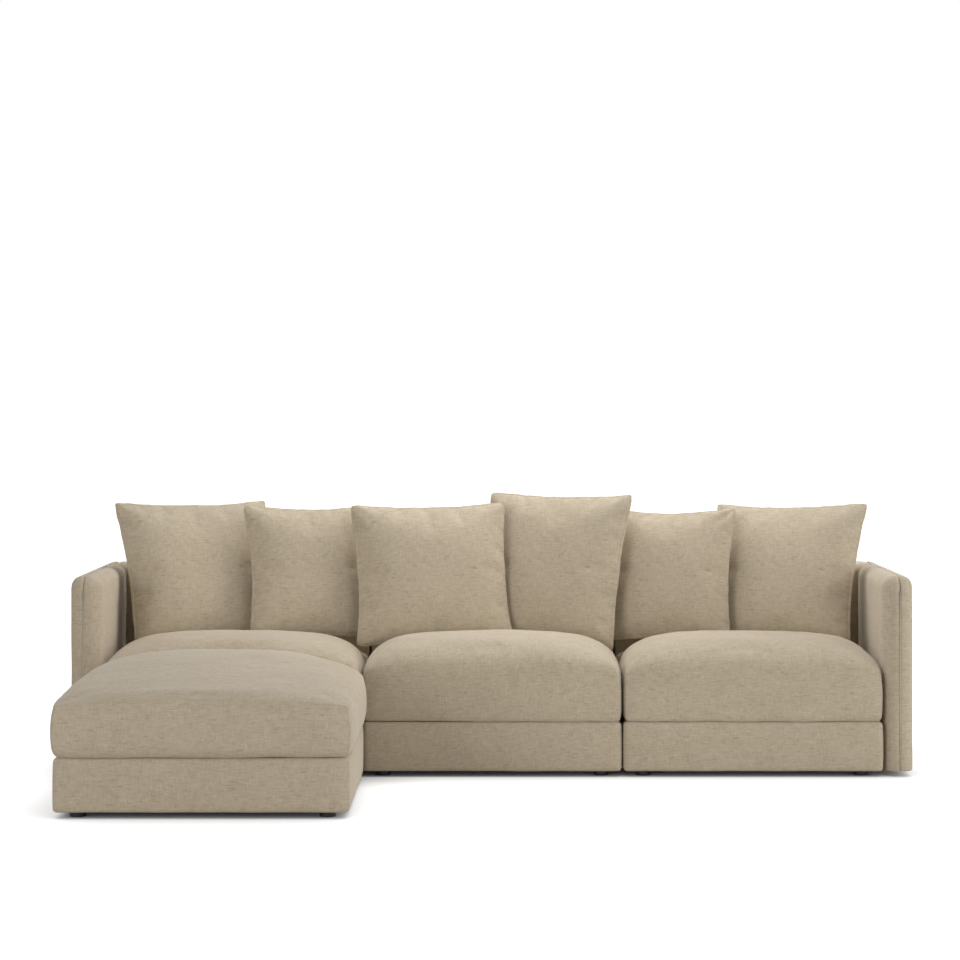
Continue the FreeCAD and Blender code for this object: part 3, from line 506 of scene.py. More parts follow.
class Shader:
    """The nodes of a material or of the world."""

    def __init__(self, owner: bpy.types.Material | bpy.types.World) -> None:
        """Takes up a material or a world and empties it.

        Args:
            owner: What the nodes belong to.
        """
        owner.use_nodes = True
        self.owner, self.tree = owner, owner.node_tree
        self.tree.nodes.clear()

    def node(self, kind: str, settings: dict | None = None, values: dict | None = None) -> Step:
        """Adds a node.

        Args:
            kind: The node's type.
            settings: Its own settings.
            values: A number, colour or wire for each of its sockets.

        Returns:
            The added node.
        """
        node = self.tree.nodes.new(kind)
        for name, value in (settings or {}).items():
            setattr(node, name, value)
        for name, value in (values or {}).items():
            if isinstance(value, Wire):
                self.tree.links.new(value.socket, node.inputs[name])
            else:
                node.inputs[name].default_value = value
        return Step(self, node)

    def surface(self, values: dict) -> bpy.types.Material:
        """Ends the material in one physical shader.

        Args:
            values: A number, colour or wire for each of its sockets.

        Returns:
            The finished material.
        """
        shader = self.node("ShaderNodeBsdfPrincipled", None, values)
        self.node("ShaderNodeOutputMaterial", None, {"Surface": shader.out()})
        return self.owner

    def noise(self, where: Wire, grain: Grain) -> Wire:
        """Stretches a noise over the surface.

        Args:
            where: The coordinates.
            grain: The noise.

        Returns:
            The noise, about a half on average.
        """
        stretch = {"Vector": where, "Scale": grain.scale, "Location": (grain.start,) * 3}
        mapped = self.node("ShaderNodeMapping", None, stretch).out()
        values = {"Vector": mapped, "Scale": 1.0, "Detail": grain.detail}
        return self.node("ShaderNodeTexNoise", None, values).out("Fac")

    def weave(self, where: Wire, pitch: float) -> Wire:
        """Crosses threads over and under each other.

        Args:
            where: The coordinates.
            pitch: From a thread to the next but one.

        Returns:
            The cloth's height, from -1 to 1.
        """
        split = self.node("ShaderNodeSeparateXYZ", None, {0: where})
        turn = 2 * math.pi / pitch
        return (split.out(0) * turn).sine() * (split.out(1) * turn).sine()

    def bump(self, strength: float, distance: float, height: Wire) -> Wire:
        """Roughens the surface by a height."""
        values = {"Strength": strength, "Distance": distance, "Height": height}
        return self.node("ShaderNodeBump", None, values).out()

    def blend(self, factor: Wire, first: object, second: object) -> Wire:
        """Mixes two colours."""
        values = {0: factor, 6: first, 7: second}  # the Mix node's sockets for colours
        return self.node("ShaderNodeMix", {"data_type": "RGBA"}, values).out(2)


def srgb(*channels: int) -> Colour:
    """A colour as a screen shows it, with channels up to 255, turned into light."""
    shares = [value / 255 for value in channels]
    return *(s / 12.92 if s <= 0.04045 else ((s + 0.055) / 1.055) ** 2.4 for s in shares), 1.0


@dataclass(frozen=True)
class Finish:
    """A finish, known by its material's name."""

    name: str

    def start(self) -> tuple[Shader, Wire]:
        """Returns an empty material and the piece's own coordinates."""
        shader = Shader(bpy.data.materials.new(self.name))
        return shader, shader.node("ShaderNodeTexCoord").out("Object")


@dataclass(frozen=True)
class LinenCloth(Finish):
    """Heathered upholstery cloth with slubs across and along the weave."""

    name: str = "heathered_linen"
    light: Colour = srgb(197, 184, 162)
    dark: Colour = srgb(164, 149, 126)
    fleck: Colour = srgb(126, 111, 90)
    slub: Colour = srgb(220, 208, 186)
    pitch: float = 0.0026
    across: Grain = Grain((32, 190, 1), 2.0)
    along: Grain = Grain((190, 36, 1), 2.0, 3.1)
    fine: Grain = Grain((420, 560, 1), 1.0, 1.7)
    blotch: Grain = Grain((34, 42, 1), 4.0, 9.1)
    cloud: Grain = Grain((9, 11, 1), 3.0, 5.3)
    flecks: Grain = Grain((42, 200, 1), 2.0, 11.3)
    slubs: Grain = Grain((200, 46, 1), 2.0, 14.9)

    def start(self) -> tuple[Shader, Wire]:
        """Returns an empty material and the weave's own map."""
        shader = Shader(bpy.data.materials.new(self.name))
        return shader, shader.node("ShaderNodeUVMap", {"uv_map": WEAVE_MAP}).out()

    def make(self) -> bpy.types.Material:
        """Builds the material.

        Returns:
            The material.
        """
        shader, where = self.start()
        grains = (self.across, self.along, self.fine, self.blotch, self.cloud)
        across, along, fine, blotch, cloud = (shader.noise(where, grain) for grain in grains)
        yarn = across * 0.75 + along * 0.55 + fine * 0.2 + blotch * 0.5 + cloud * 0.3
        colour = shader.blend(yarn.between(0.68, 1.62), self.dark, self.light)
        fleck = shader.noise(where, self.flecks).between(0.6, 0.76)
        colour = shader.blend(fleck * 0.45, colour, self.fleck)
        slub = shader.noise(where, self.slubs).between(0.62, 0.78)
        colour = shader.blend(slub * 0.4, colour, self.slub)
        height = across * 0.6 + along * 0.4 + shader.weave(where, self.pitch) * 0.12 + fine * 0.3
        return shader.surface({
            "Base Color": colour,
            "Roughness": 0.97 - across * 0.12,
            "Normal": shader.bump(0.35, 0.0012, height),
            "Sheen Weight": 0.25,
            "Sheen Roughness": 0.5,
            "Sheen Tint": (1.0, 0.96, 0.9, 1.0),
            "Specular IOR Level": 0.25,
        })


@dataclass(frozen=True)
class PlainCloth(Finish):
    """A thin woven cloth of one shade, for the underside and the straps."""

    light: Colour
    dark: Colour
    pitch: float
    patches: Grain = Grain((30, 30, 30), 3.0)

    def make(self) -> bpy.types.Material:
        """Builds the material.

        Returns:
            The material.
        """
        shader, where = self.start()
        weave = shader.weave(where, self.pitch)
        patch = shader.noise(where, self.patches)
        mix = (weave * 0.25 + patch).between(0.2, 0.9)
        return shader.surface({
            "Base Color": shader.blend(mix, self.dark, self.light),
            "Roughness": 0.95 - patch * 0.1,
            "Normal": shader.bump(0.3, 0.0006, weave),
            "Sheen Weight": 0.1,
        })


@dataclass(frozen=True)
class MouldedPlastic(Finish):
    """Black moulded plastic with a fine grain and scuffs."""

    name: str = "black_moulded_plastic"
    colour: Colour = srgb(26, 25, 25)
    scuffed: Colour = srgb(48, 46, 45)
    grain: Grain = Grain((900, 900, 900), 2.0)
    scuffs: Grain = Grain((60, 60, 240), 4.0, 2.0)

    def make(self) -> bpy.types.Material:
        """Builds the material.

        Returns:
            The material.
        """
        shader, where = self.start()
        scuff = shader.noise(where, self.scuffs).between(0.55, 0.8)
        return shader.surface({
            "Base Color": shader.blend(scuff, self.colour, self.scuffed),
            "Roughness": 0.42 + scuff * 0.2,
            "Normal": shader.bump(0.2, 0.0003, shader.noise(where, self.grain)),
        })


@dataclass(frozen=True)
class SawnTimber(Finish):
    """Planed softwood with its grain along the rails."""

    name: str = "planed_softwood"
    light: Colour = srgb(214, 184, 140)
    dark: Colour = srgb(170, 132, 88)
    grain: Grain = Grain((4, 60, 60), 4.0)
    rings: Grain = Grain((1.5, 22, 22), 2.0, 4.0)

    def make(self) -> bpy.types.Material:
        """Builds the material.

        Returns:
            The material.
        """
        shader, where = self.start()
        grain, rings = shader.noise(where, self.grain), shader.noise(where, self.rings)
        mix = (grain * 0.6 + rings * 0.6).between(0.35, 0.85)
        return shader.surface({
            "Base Color": shader.blend(mix, self.dark, self.light),
            "Roughness": 0.6 + grain * 0.2,
            "Normal": shader.bump(0.2, 0.0008, grain),
        })


@dataclass(frozen=True)
class ZincSteel(Finish):
    """Zinc-plated steel for plates, screws and bolts."""

    name: str = "zinc_steel"
    light: Colour = srgb(205, 206, 205)
    dark: Colour = srgb(150, 152, 154)
    brush: Grain = Grain((500, 40, 40), 2.0)
    cloud: Grain = Grain((35, 35, 35), 3.0, 6.0)

    def make(self) -> bpy.types.Material:
        """Builds the material.

        Returns:
            The material.
        """
        shader, where = self.start()
        brushed, cloud = shader.noise(where, self.brush), shader.noise(where, self.cloud)
        mix = (brushed * 0.5 + cloud * 0.5).between(0.3, 0.7)
        return shader.surface({
            "Base Color": shader.blend(mix, self.dark, self.light),
            "Roughness": 0.28 + cloud * 0.2,
            "Metallic": 1.0,
        })


class Wardrobe:
    """All the finishes, each made once."""

    def __init__(self) -> None:
        """Makes the materials."""
        self.linen = LinenCloth().make()
        self.dust = PlainCloth("black_dust_cloth", srgb(52, 51, 50), srgb(30, 30, 30), 0.004).make()
        self.webbing = PlainCloth("elastic_webbing", srgb(120, 112, 100), srgb(62, 58, 54), 0.003).make()
        self.plastic = MouldedPlastic().make()
        self.timber = SawnTimber().make()
        self.steel = ZincSteel().make()


def dress(obj: bpy.types.Object, material: bpy.types.Material) -> None:
    """Gives an object one finish."""
    obj.data.materials.clear()
    obj.data.materials.append(material)


@dataclass
class Upholstered:
    """A padded piece that stands for CAD nodes and moves with a body."""

    name: str
    nodes: tuple[str, ...]
    body: str
    fill: float
    low: Vector = field(init=False)
    high: Vector = field(init=False)
    shell: Sculpt = field(init=False)

    def __post_init__(self) -> None:
        """Finds the corners of the room that the piece fills."""
        self.low, self.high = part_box(self.nodes[0])

    def settle(self, wardrobe: Wardrobe, lay: Lay | None = Lay.BOXED) -> None:
        """Shades and clothes the finished piece, attaches it to its body and hides the CAD nodes that it
        stands for.

        Args:
            wardrobe: The finishes.
            lay: How the weave lies, or None where it has been laid already.
        """
        shell = self.shell
        shell.smooth_shade()
        if lay is not None:
            shell.lay_weave(lay)
        dress(shell.obj, wardrobe.linen)
        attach(shell.obj, self.body)
        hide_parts(*self.nodes)
        LOG.info("%s: %d faces", shell.obj.name, len(shell.obj.data.polygons))


def crowd(unit: np.ndarray) -> np.ndarray:
    """Moves shares from -1 to 1 closer to their ends, where the seams are."""
    return np.sign(unit) * (1 - np.clip(1 - np.abs(unit), 0, 1) ** CROWDING)


@dataclass
class SeatCushion(Upholstered):
    """A loose seat cushion: a crowned top that rolls over into swelling sides, flat below."""

    faces: tuple[int, int] = (46, 38)
    courses: int = 9
    bulge: float = 0.003
    spill: float = 0.0
    corner: float = 0.007
    corner_power: int = 10
    tuck: float = 0.006
    tuck_height: float = 0.014
    rim: float = 0.350
    lift: float = 0.028
    fullness: float = 0.40
    shoulder: float = 2.6
    arch: float = 2.4
    forward: float = 0.0
    dip: float = 0.0
    dip_start: float = -0.008
    dip_reach: float = 0.140
    sink: float = 0.0
    held_from: float = 0.78
    held_reach: float = 0.2
    room: float = 0.0005
    groove: float = 0.0025
    groove_from: float = 0.01
    broad_waves: Waves = Waves(0.003, 7.0)
    small_waves: Waves = Waves(0.0012, 19.0)
    small_seed: int = 7
    seed: int = 1
    filling: Filling = Filling(pressure=3.0, tension=25, bending=4, cap=0.010)

    def __post_init__(self) -> None:
        """Finds the corners of the room that the cushion fills, below the CAD's by its sink."""
        super().__post_init__()
        self.high = self.high - Vector((0, 0, self.sink))

    def build(self) -> None:
        """Shapes the shell in its place, before it is stuffed."""
        low, high = self.low, self.high
        self.shell = Sculpt.double_sheet(self.name, self.faces, self.courses)
        unit = crowd(self.shell.points())
        middle, half = (low + high) / 2, (high - low) / 2
        a, b, level = unit[:, 0], unit[:, 1], (unit[:, 2] + 1) / 2
        edge = self.rim + self.lift * (1 - (a * b) ** 2) * level**2
        on_top = level > 1 - NEAR
        crown = edge + (high.z - edge) * self.crown(a, b, half.y)
        height = np.where(on_top, crown, low.z + (edge - low.z) * level)
        foot = np.clip(1 - (height - low.z) / self.tuck_height, 0, 1)
        swell = self.bulge * (np.sin(np.pi * np.clip(level, 0, 1)) - 1)
        swell = swell - self.tuck * (1 - np.sqrt(1 - foot**2))
        inward = self.corner * np.abs(a * b) ** self.corner_power
        x = middle.x + a * (half.x + swell + self.spill - inward)
        y = middle.y + b * (half.y + swell - inward) + np.minimum(b, 0) * self.spill
        self.shell.set_points(np.stack([x, y, height], 1))
        nearer = np.minimum(np.abs(a), np.abs(b))
        near_corner = np.clip((nearer - self.held_from) / self.held_reach, 0, 1)
        rim = (np.maximum(np.abs(a), np.abs(b)) > 1 - NEAR) & on_top
        fixed = (nearer > 1 - NEAR) | (level < NEAR)
        self.shell.mark(SEAM_GROUP, np.maximum(fixed.astype(float), rim * near_corner))

    def crown(self, a: np.ndarray, b: np.ndarray, half_depth: float) -> np.ndarray:
        """How far each spot rises from the rim to the crown.

        Args:
            a: Shares of the half width.
            b: Shares of the half depth.
            half_depth: The half depth.

        Returns:
            Shares of the crown's height, less where scatter cushions press on the back.
        """
        ahead = b + self.forward / half_depth * (1 - b**2)
        crown = dome(a, ahead, self.shoulder, self.arch) ** self.fullness
        share = np.clip((b * half_depth - self.dip_start) / self.dip_reach, 0, 1)
        return crown * (1 - self.dip * share**2 * (3 - 2 * share))

    def finish(self, wardrobe: Wardrobe) -> None:
        """Fits the stuffed cushion to its place, draws in the seam and dresses it.

        Args:
            wardrobe: The finishes.
        """
        shell, rim = self.shell, self.rim
        rows = shell.points()
        above, top = rows[:, 2] > rim, rows[:, 2].max()
        rows[above, 2] = rim + (rows[above, 2] - rim) * (self.high.z - rim) / (top - rim)
        spill = np.array((self.spill, self.spill, 0))
        least = np.array(self.low) - spill + self.room
        most = np.array(self.high) + spill * (1, 0, 0) - self.room
        shell.set_points(np.clip(rows, least, most))
        shell.refine(1)
        shell.soften(self.broad_waves, self.seed)
        shell.soften(self.small_waves, self.seed + self.small_seed)
        shell.draw_in(SEAM_GROUP, self.groove, self.low.z + self.groove_from)
        self.settle(wardrobe)


@dataclass
class ScatterCushion(Upholstered):
    """A knife-edged pillow, plump on both sides, with puckered edges and peaked corners."""

    size: PillowSize
    turn: float
    lean: float
    roll: float
    taper: float
    folded_corner: tuple[int, int]
    seed: int
    faces: tuple[int, int] = (36, 32)
    draw: float = 0.017
    seated: float = 0.4
    shoulder: float = 2.4
    fullness: float = 0.46
    flat_share: float = 0.45
    slump: float = 0.14
    tip: float = 0.009
    tip_power: int = 16
    lip: float = 0.002
    hem: float = 0.0018
    pucker: float = 0.003
    pucker_band: float = 0.22
    pucker_steps: Triple = (30, 5.0, 4.3)
    folds: float = 0.0015
    fold_rays: int = 9
    fold_step: float = 1.7
    fold_reach: float = 0.1
    fold_start: float = 0.06
    deep_fold: int = 5
    waves: Waves = Waves(0.004, 6.0)
    filling: Filling = Filling(pressure=2.5, tension=12, bending=0.6, slack=0.02, cap=0.03)

    def build(self) -> None:
        """Shapes the shell, lying flat at the origin, before it is stuffed."""
        width, height, thickness = self.size.value
        self.shell = shell = Sculpt.double_sheet(self.name, self.faces, 1)
        unit = shell.points()
        a, b, side = crowd(unit[:, 0]), crowd(unit[:, 1]), np.sign(unit[:, 2])
        blunt = self.tip * np.abs(a * b) ** self.tip_power
        out_x = width / 2 - self.draw * (1 - b**2) - blunt
        out_y = height / 2 - self.draw * np.where(b < 0, self.seated, 1) * (1 - a**2) - blunt
        full = dome(a, b, self.shoulder, self.shoulder) ** self.fullness
        rise = full * (1 - self.slump * b) * thickness * self.flat_share
        narrow = 1 - self.taper * (1 - b) / 2
        shell.set_points(np.stack([a * out_x * narrow, b * out_y, side * rise], 1))
        ring = ((1 - np.abs(unit[:, :2])) * self.faces).min(1) / 2
        shell.mark(HEM_GROUP, (np.rint(ring) == 1).astype(float))
        with shell.editing():
            bpy.ops.mesh.select_all(action="SELECT")
            bpy.ops.mesh.remove_doubles(threshold=MERGE)
        shell.mark(SEAM_GROUP, (np.abs(shell.points()[:, 2]) < MERGE).astype(float))

    def crease(self) -> None:
        """Puckers the cloth along the seam and folds it towards the corners."""
        rows, normals = self.shell.points(), self.shell.normals()
        width, height, _ = self.size.value
        half = np.array((width / 2, height / 2))
        share = np.abs(rows[:, :2] / half)
        along = np.where(share[:, 0] > share[:, 1], rows[:, 1], rows[:, 0])
        ring = np.clip(1 - (1 - share.max(1)) / self.pucker_band, 0, 1) ** 2
        steps = np.array(self.pucker_steps)
        waves = np.array([
            noise.noise(Vector((spot, side, self.seed) * steps))
            for spot, side in zip(along, np.sign(rows[:, 2]))
        ])
        shift = waves * ring * self.pucker
        for corner in ((-1, -1), (1, -1), (1, 1), (-1, 1)):
            away = half * corner - rows[:, :2]
            reach = np.linalg.norm(away, axis=1)
            angle = np.arctan2(away[:, 1] * corner[1], away[:, 0] * corner[0]) - math.pi / 4
            depth = self.folds * (self.deep_fold if corner == self.folded_corner else 1)
            fade = np.exp(-((reach / self.fold_reach) ** 2))
            fade = fade * np.clip(reach / self.fold_start, 0, 1) ** 2
            start = self.seed * self.fold_step
            shift = shift + np.cos(angle * self.fold_rays + start + corner[0]) * fade * depth
        self.shell.set_points(rows + normals * shift[:, None])

    def pose(self) -> Matrix:
        """Where the pillow leans on the sofa.

        Returns:
            The way from the origin to its place.
        """
        lean = Matrix.Rotation(math.radians(90 - self.lean), 4, "X")
        turned = Matrix.Rotation(math.radians(self.turn), 4, "Z") @ lean
        roll = Matrix.Rotation(math.radians(self.roll), 4, "Z")
        return Matrix.Translation((self.low + self.high) / 2) @ turned @ roll

    def finish(self, wardrobe: Wardrobe) -> None:
        """Fits the stuffed pillow to its thickness, creases, leans and dresses it.

        Args:
            wardrobe: The finishes.
        """
        shell = self.shell
        rows = shell.points()
        rows[:, 2] *= self.size.value[2] / 2 / np.abs(rows[:, 2]).max()
        shell.set_points(rows)
        shell.draw_in(SEAM_GROUP, -self.lip)
        shell.refine(2)
        shell.draw_in(HEM_GROUP, self.hem)
        shell.soften(self.waves, self.seed)
        self.crease()
        shell.lay_weave(Lay.FLAT)
        shell.obj.data.transform(self.pose())
        shell.obj.data.update()
        self.settle(wardrobe, None)


@dataclass
class PaddedCover(Upholstered, ABC):
    """A cover that starts from a block and stands out over its padding."""

    puff: float = 0.004
    pitch: float = 0.06
    cuts: tuple[Axis, ...] = tuple(Axis)
    waves: Waves = Waves(0.0012, 9.0)
    first_seed: int = 0

    @abstractmethod
    def carve(self) -> None:
        """Rounds and hollows the block, in edit mode."""

    @abstractmethod
    def swell(self) -> None:
        """Lets the padding stand out between the edges."""

    def build(self, wardrobe: Wardrobe) -> None:
        """Shapes and dresses the cover.

        Args:
            wardrobe: The finishes.
        """
        self.shell = Sculpt.box(self.name, self.low, self.high)
        with self.shell.editing():
            self.carve()
            self.shell.slice(self.low, self.high, self.pitch, self.cuts)
        self.swell()
        self.shell.refine(1)
        self.shell.soften(self.waves, len(self.name) + self.first_seed)
        self.settle(wardrobe)

    def spread(self) -> tuple[np.ndarray, np.ndarray]:
        """The points, and where they lie in shares of the half size from the middle."""
        rows, middle = self.shell.points(), np.array((self.low + self.high) / 2)
        return rows, (rows - middle) / np.array((self.high - self.low) / 2)


@dataclass
class BaseBorder(PaddedCover):
    """A padded border and deck, open below."""

    upright_round: Round = Round(0.018, 4)
    top_round: Round = Round(0.015, 4)
    foot_round: Round = Round(0.010, 3)
    wall: float = 0.018
    deck: float = 0.012
    puff: float = 0.005
    puff_power: int = 8

    def carve(self) -> None:
        """Rounds the block and hollows it from below."""
        shell, low, high = self.shell, self.low, self.high
        for x in (low.x, high.x):
            for y in (low.y, high.y):
                shell.round_edges(self.upright_round, within(x=x, y=y))
        shell.round_edges(self.top_round, within(z=high.z))
        shell.round_edges(self.foot_round, within(z=low.z))
        shell.pick(Pick.FACES, lambda face: face.normal.z < FACING_DOWN)
        bpy.ops.mesh.inset(thickness=self.wall - self.foot_round.offset, depth=0)
        rise = (0, 0, high.z - low.z - self.deck)
        bpy.ops.mesh.extrude_region_move(TRANSFORM_OT_translate={"value": rise})

    def swell(self) -> None:
        """Lets the padding stand out between the edges of the outer walls."""
        rows, share = self.spread()
        rise = np.clip(1 - share[:, 2] ** 2, 0, 1)
        for axis, other in ((0, 1), (1, 0)):
            outer = np.abs(share[:, axis]) > FLUSH
            puff = self.puff * rise * (1 - share[:, other] ** self.puff_power)
            rows[outer, axis] += np.sign(share[outer, axis]) * puff[outer]
        self.shell.set_points(rows)


@dataclass
class BackRest(PaddedCover):
    """The upright back of one module."""

    upright_round: Round = Round(0.012, 3)
    top_round: Round = Round(0.036, 6)
    pitch: float = 0.07
    puff_power: int = 4
    waves: Waves = Waves(0.0015, 6.0)
    first_seed: int = 3

    def carve(self) -> None:
        """Rounds the top and the sides."""
        shell, low, high = self.shell, self.low, self.high
        for y in (low.y, high.y):
            shell.round_edges(self.top_round, within(y=y, z=high.z))
        for x in (low.x, high.x):
            shell.round_edges(self.upright_round, within(x=x))

    def swell(self) -> None:
        """Lets the front and the back stand out."""
        rows, share = self.spread()
        outer = np.abs(share[:, 1]) > FLUSH
        rise = dome(share[:, 0], share[:, 2], self.puff_power, self.puff_power) * self.puff
        rows[outer, 1] += np.sign(share[outer, 1]) * rise[outer]
        self.shell.set_points(rows)


@dataclass
class ArmShell(PaddedCover):
    """One padded half of an arm, outside or inside its seam."""

    outward: int = 1
    corner: Round = Round(0.046, 6)
    edge_round: Round = Round(0.034, 6)
    seam_round: Round = Round(0.0055, 3)
    foot_round: Round = Round(0.007, 3)
    sweep: float = 0.0
    sweep_reach: float = 0.16
    sweep_start: float = 0.2
    puff: float = 0.003
    puff_power: int = 4
    cuts: tuple[Axis, ...] = (Axis.Y, Axis.Z)
    waves: Waves = Waves(0.0012, 8.0)
    first_seed: int = 5

    def sides(self) -> tuple[float, float]:
        """The planes of the outer side and of the seam, on X."""
        ends = (self.low.x, self.high.x)
        return ends[::-1] if self.outward > 0 else ends

    def carve(self) -> None:
        """Rounds the upper corners, both rims and the foot."""
        shell, low, high = self.shell, self.low, self.high
        foot = within(z=low.z)
        for y in (low.y, high.y):
            shell.round_edges(self.corner, within(y=y, z=high.z))
        for plane, shape in zip(self.sides(), (self.edge_round, self.seam_round)):
            side = within(x=plane)
            shell.round_edges(shape, lambda edge: side(edge) and not foot(edge))
        shell.round_edges(self.foot_round, foot)

    def swell(self) -> None:
        """Lets the outer side stand out and sweeps its front back."""
        far, seam = self.sides()
        rows, share = self.spread()
        outer = np.abs(rows[:, 0] - far) < NEAR
        rise = dome(share[:, 1], share[:, 2], self.puff_power, self.puff_power) * self.puff
        rows[outer, 0] += self.outward * rise[outer]
        way = (rows[:, 0] - seam) / (far - seam)
        inward = np.clip((way - self.sweep_start) / (1 - self.sweep_start), 0, 1)
        fade = np.clip(1 - (rows[:, 1] - self.low.y) / self.sweep_reach, 0, 1) ** 2
        rows[:, 1] += self.sweep * (1 - np.sqrt(1 - inward**2)) * fade
        self.shell.set_points(rows)


@dataclass
class ArmPiping:
    """The fine cord in an arm's seam, up the front, over the corner and back along the top."""

    name: str
    node: str
    radius: float = 0.003
    bend: float = 0.048
    sides: int = 12
    bend_steps: int = 10
    body: str = "sofa"

    def build(self, wardrobe: Wardrobe) -> None:
        """Sweeps a ring along the seam and dresses it.

        Args:
            wardrobe: The finishes.
        """
        low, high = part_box(self.node)
        x = (low.x + high.x) / 2
        front, top = low.y + self.radius, high.z - self.radius
        up, back = (0, 0, top - self.bend - low.z), (0, high.y - front - self.bend, 0)
        centre = (x, front + self.bend, top - self.bend)
        bpy.ops.object.select_all(action="DESELECT")
        bpy.ops.mesh.primitive_circle_add(
            vertices=self.sides, radius=self.radius, location=(x, front, low.z), fill_type="NGON"
        )
        cord = Sculpt.adopt(self.name)
        with cord.editing():
            bpy.ops.mesh.select_all(action="SELECT")
            bpy.ops.mesh.extrude_region_move(TRANSFORM_OT_translate={"value": up})
            bpy.ops.mesh.spin(steps=self.bend_steps, angle=-math.pi / 2, center=centre, axis=(1, 0, 0))
            bpy.ops.mesh.extrude_region_move(TRANSFORM_OT_translate={"value": back})
            bpy.ops.mesh.select_all(action="SELECT")
            bpy.ops.mesh.remove_doubles(threshold=MERGE)
            bpy.ops.mesh.normals_make_consistent(inside=False)
        cord.smooth_shade()
        cord.lay_weave(Lay.BOXED)
        dress(cord.obj, wardrobe.linen)
        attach(cord.obj, self.body)
        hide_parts(self.node)
        LOG.info("%s: %d faces", self.name, len(cord.obj.data.polygons))


@dataclass
class DustCover:
    """The thin cloth stapled under a base."""

    name: str
    node: str
    frame_node: str
    body: str
    faces: tuple[int, int] = (24, 22)
    sag: float = 0.002
    thickness: float = 0.0008

    def build(self, wardrobe: Wardrobe) -> None:
        """Stretches and dresses the sheet.

        Args:
            wardrobe: The finishes.
        """
        low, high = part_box(self.node)
        width, depth = high.x - low.x, high.y - low.y
        cloth = Sculpt.sheet(self.name, self.faces, width, depth)
        rows = cloth.points()
        a, b = rows[:, 0] / width * 2, rows[:, 1] / depth * 2
        rows[:, 2] = high.z - self.sag * (1 - a**2) * (1 - b**2)
        rows[:, 0] += (low.x + high.x) / 2
        rows[:, 1] += (low.y + high.y) / 2
        cloth.set_points(rows)
        cloth.modify("SOLIDIFY", thickness=self.thickness, offset=1.0)
        cloth.smooth_shade()
        dress(cloth.obj, wardrobe.dust)
        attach(cloth.obj, self.body)
        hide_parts(self.node)
        LOG.info("%s: stretched under its frame", self.name)


@dataclass
class Webbing:
    """Elastic straps woven over and under each other across a base."""

    name: str
    node: str
    body: str
    across: int = 5
    along: int = 6
    strap: float = 0.050
    faces: tuple[int, int] = (40, 2)
    inset: float = 0.025
    thickness: float = 0.0016
    lift: float = 0.3
    wave: float = 0.16

    def build(self, wardrobe: Wardrobe) -> None:
        """Lays and dresses the straps.

        Args:
            wardrobe: The finishes.
        """
        low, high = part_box(self.node)
        middle, size = (low + high) / 2, high - low
        step = (size.y - 2 * self.inset) / self.across
        spot = Vector((middle.x, low.y + self.inset + step / 2, low.z))
        straps = self.repeat(self.weave_strap(spot, size.x, False), self.across, Vector((0, step, 0)))
        step = (size.x - 2 * self.inset) / self.along
        spot = Vector((low.x + self.inset + step / 2, middle.y, high.z))
        straps += self.repeat(self.weave_strap(spot, size.y, True), self.along, Vector((step, 0, 0)))
        piece = straps[0].obj
        activate(piece)
        for strap in straps:
            strap.obj.select_set(True)
        bpy.ops.object.join()
        piece.name = piece.data.name = self.name
        dress(piece, wardrobe.webbing)
        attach(piece, self.body)
        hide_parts(self.node)
        LOG.info("%s: %d straps", self.name, len(straps))

    @staticmethod
    def repeat(first: Sculpt, count: int, step: Vector) -> list[Sculpt]:
        """Copies a strap into a row.

        Args:
            first: The first strap of the row.
            count: How many straps the row has.
            step: The way from one strap to the next.

        Returns:
            All straps of the row, each with a mesh of its own.
        """
        row = [first]
        for number in range(1, count):
            activate(first.obj)
            bpy.ops.object.duplicate(linked=False)
            strap = Sculpt(bpy.context.object)
            strap.set_points(first.points() + np.array(step * number))
            row.append(strap)
        return row

    def weave_strap(self, spot: Vector, length: float, turned: bool) -> Sculpt:
        """Models the first strap of a row.

        Args:
            spot: Its middle.
            length: Its length.
            turned: Whether it runs from front to back, on top of the others.

        Returns:
            The strap under work.
        """
        way, sign = ("along", 1) if turned else ("across", -1)
        strap = Sculpt.sheet(f"{self.name}_{way}", self.faces, length, self.strap)
        rows = strap.points()
        rise = self.thickness * self.lift * (1 + np.sin(rows[:, 0] * 2 * math.pi / self.wave))
        rows[:, 2] = -sign * rise
        if turned:
            rows[:, [0, 1]] = rows[:, [1, 0]]
        strap.set_points(rows + np.array(spot))
        strap.modify("SOLIDIFY", thickness=self.thickness, offset=float(sign))
        strap.smooth_shade()
        return strap


@dataclass(frozen=True)
class Lamp:
    """A soft lamp that faces a target."""

    name: str
    spot: Triple
    target: Triple
    size: tuple[float, float]
    power: float

    def hang(self) -> None:
        """Hangs the lamp."""
        data = bpy.data.lights.new(self.name, "AREA")
        data.shape = "ELLIPSE"
        data.size, data.size_y = self.size
        data.energy = self.power
        lamp = bpy.data.objects.new(self.name, data)
        bpy.context.scene.collection.objects.link(lamp)
        spot = Vector(self.spot)
        lamp.location = spot
        lamp.rotation_euler = (Vector(self.target) - spot).to_track_quat("-Z", "Y").to_euler()


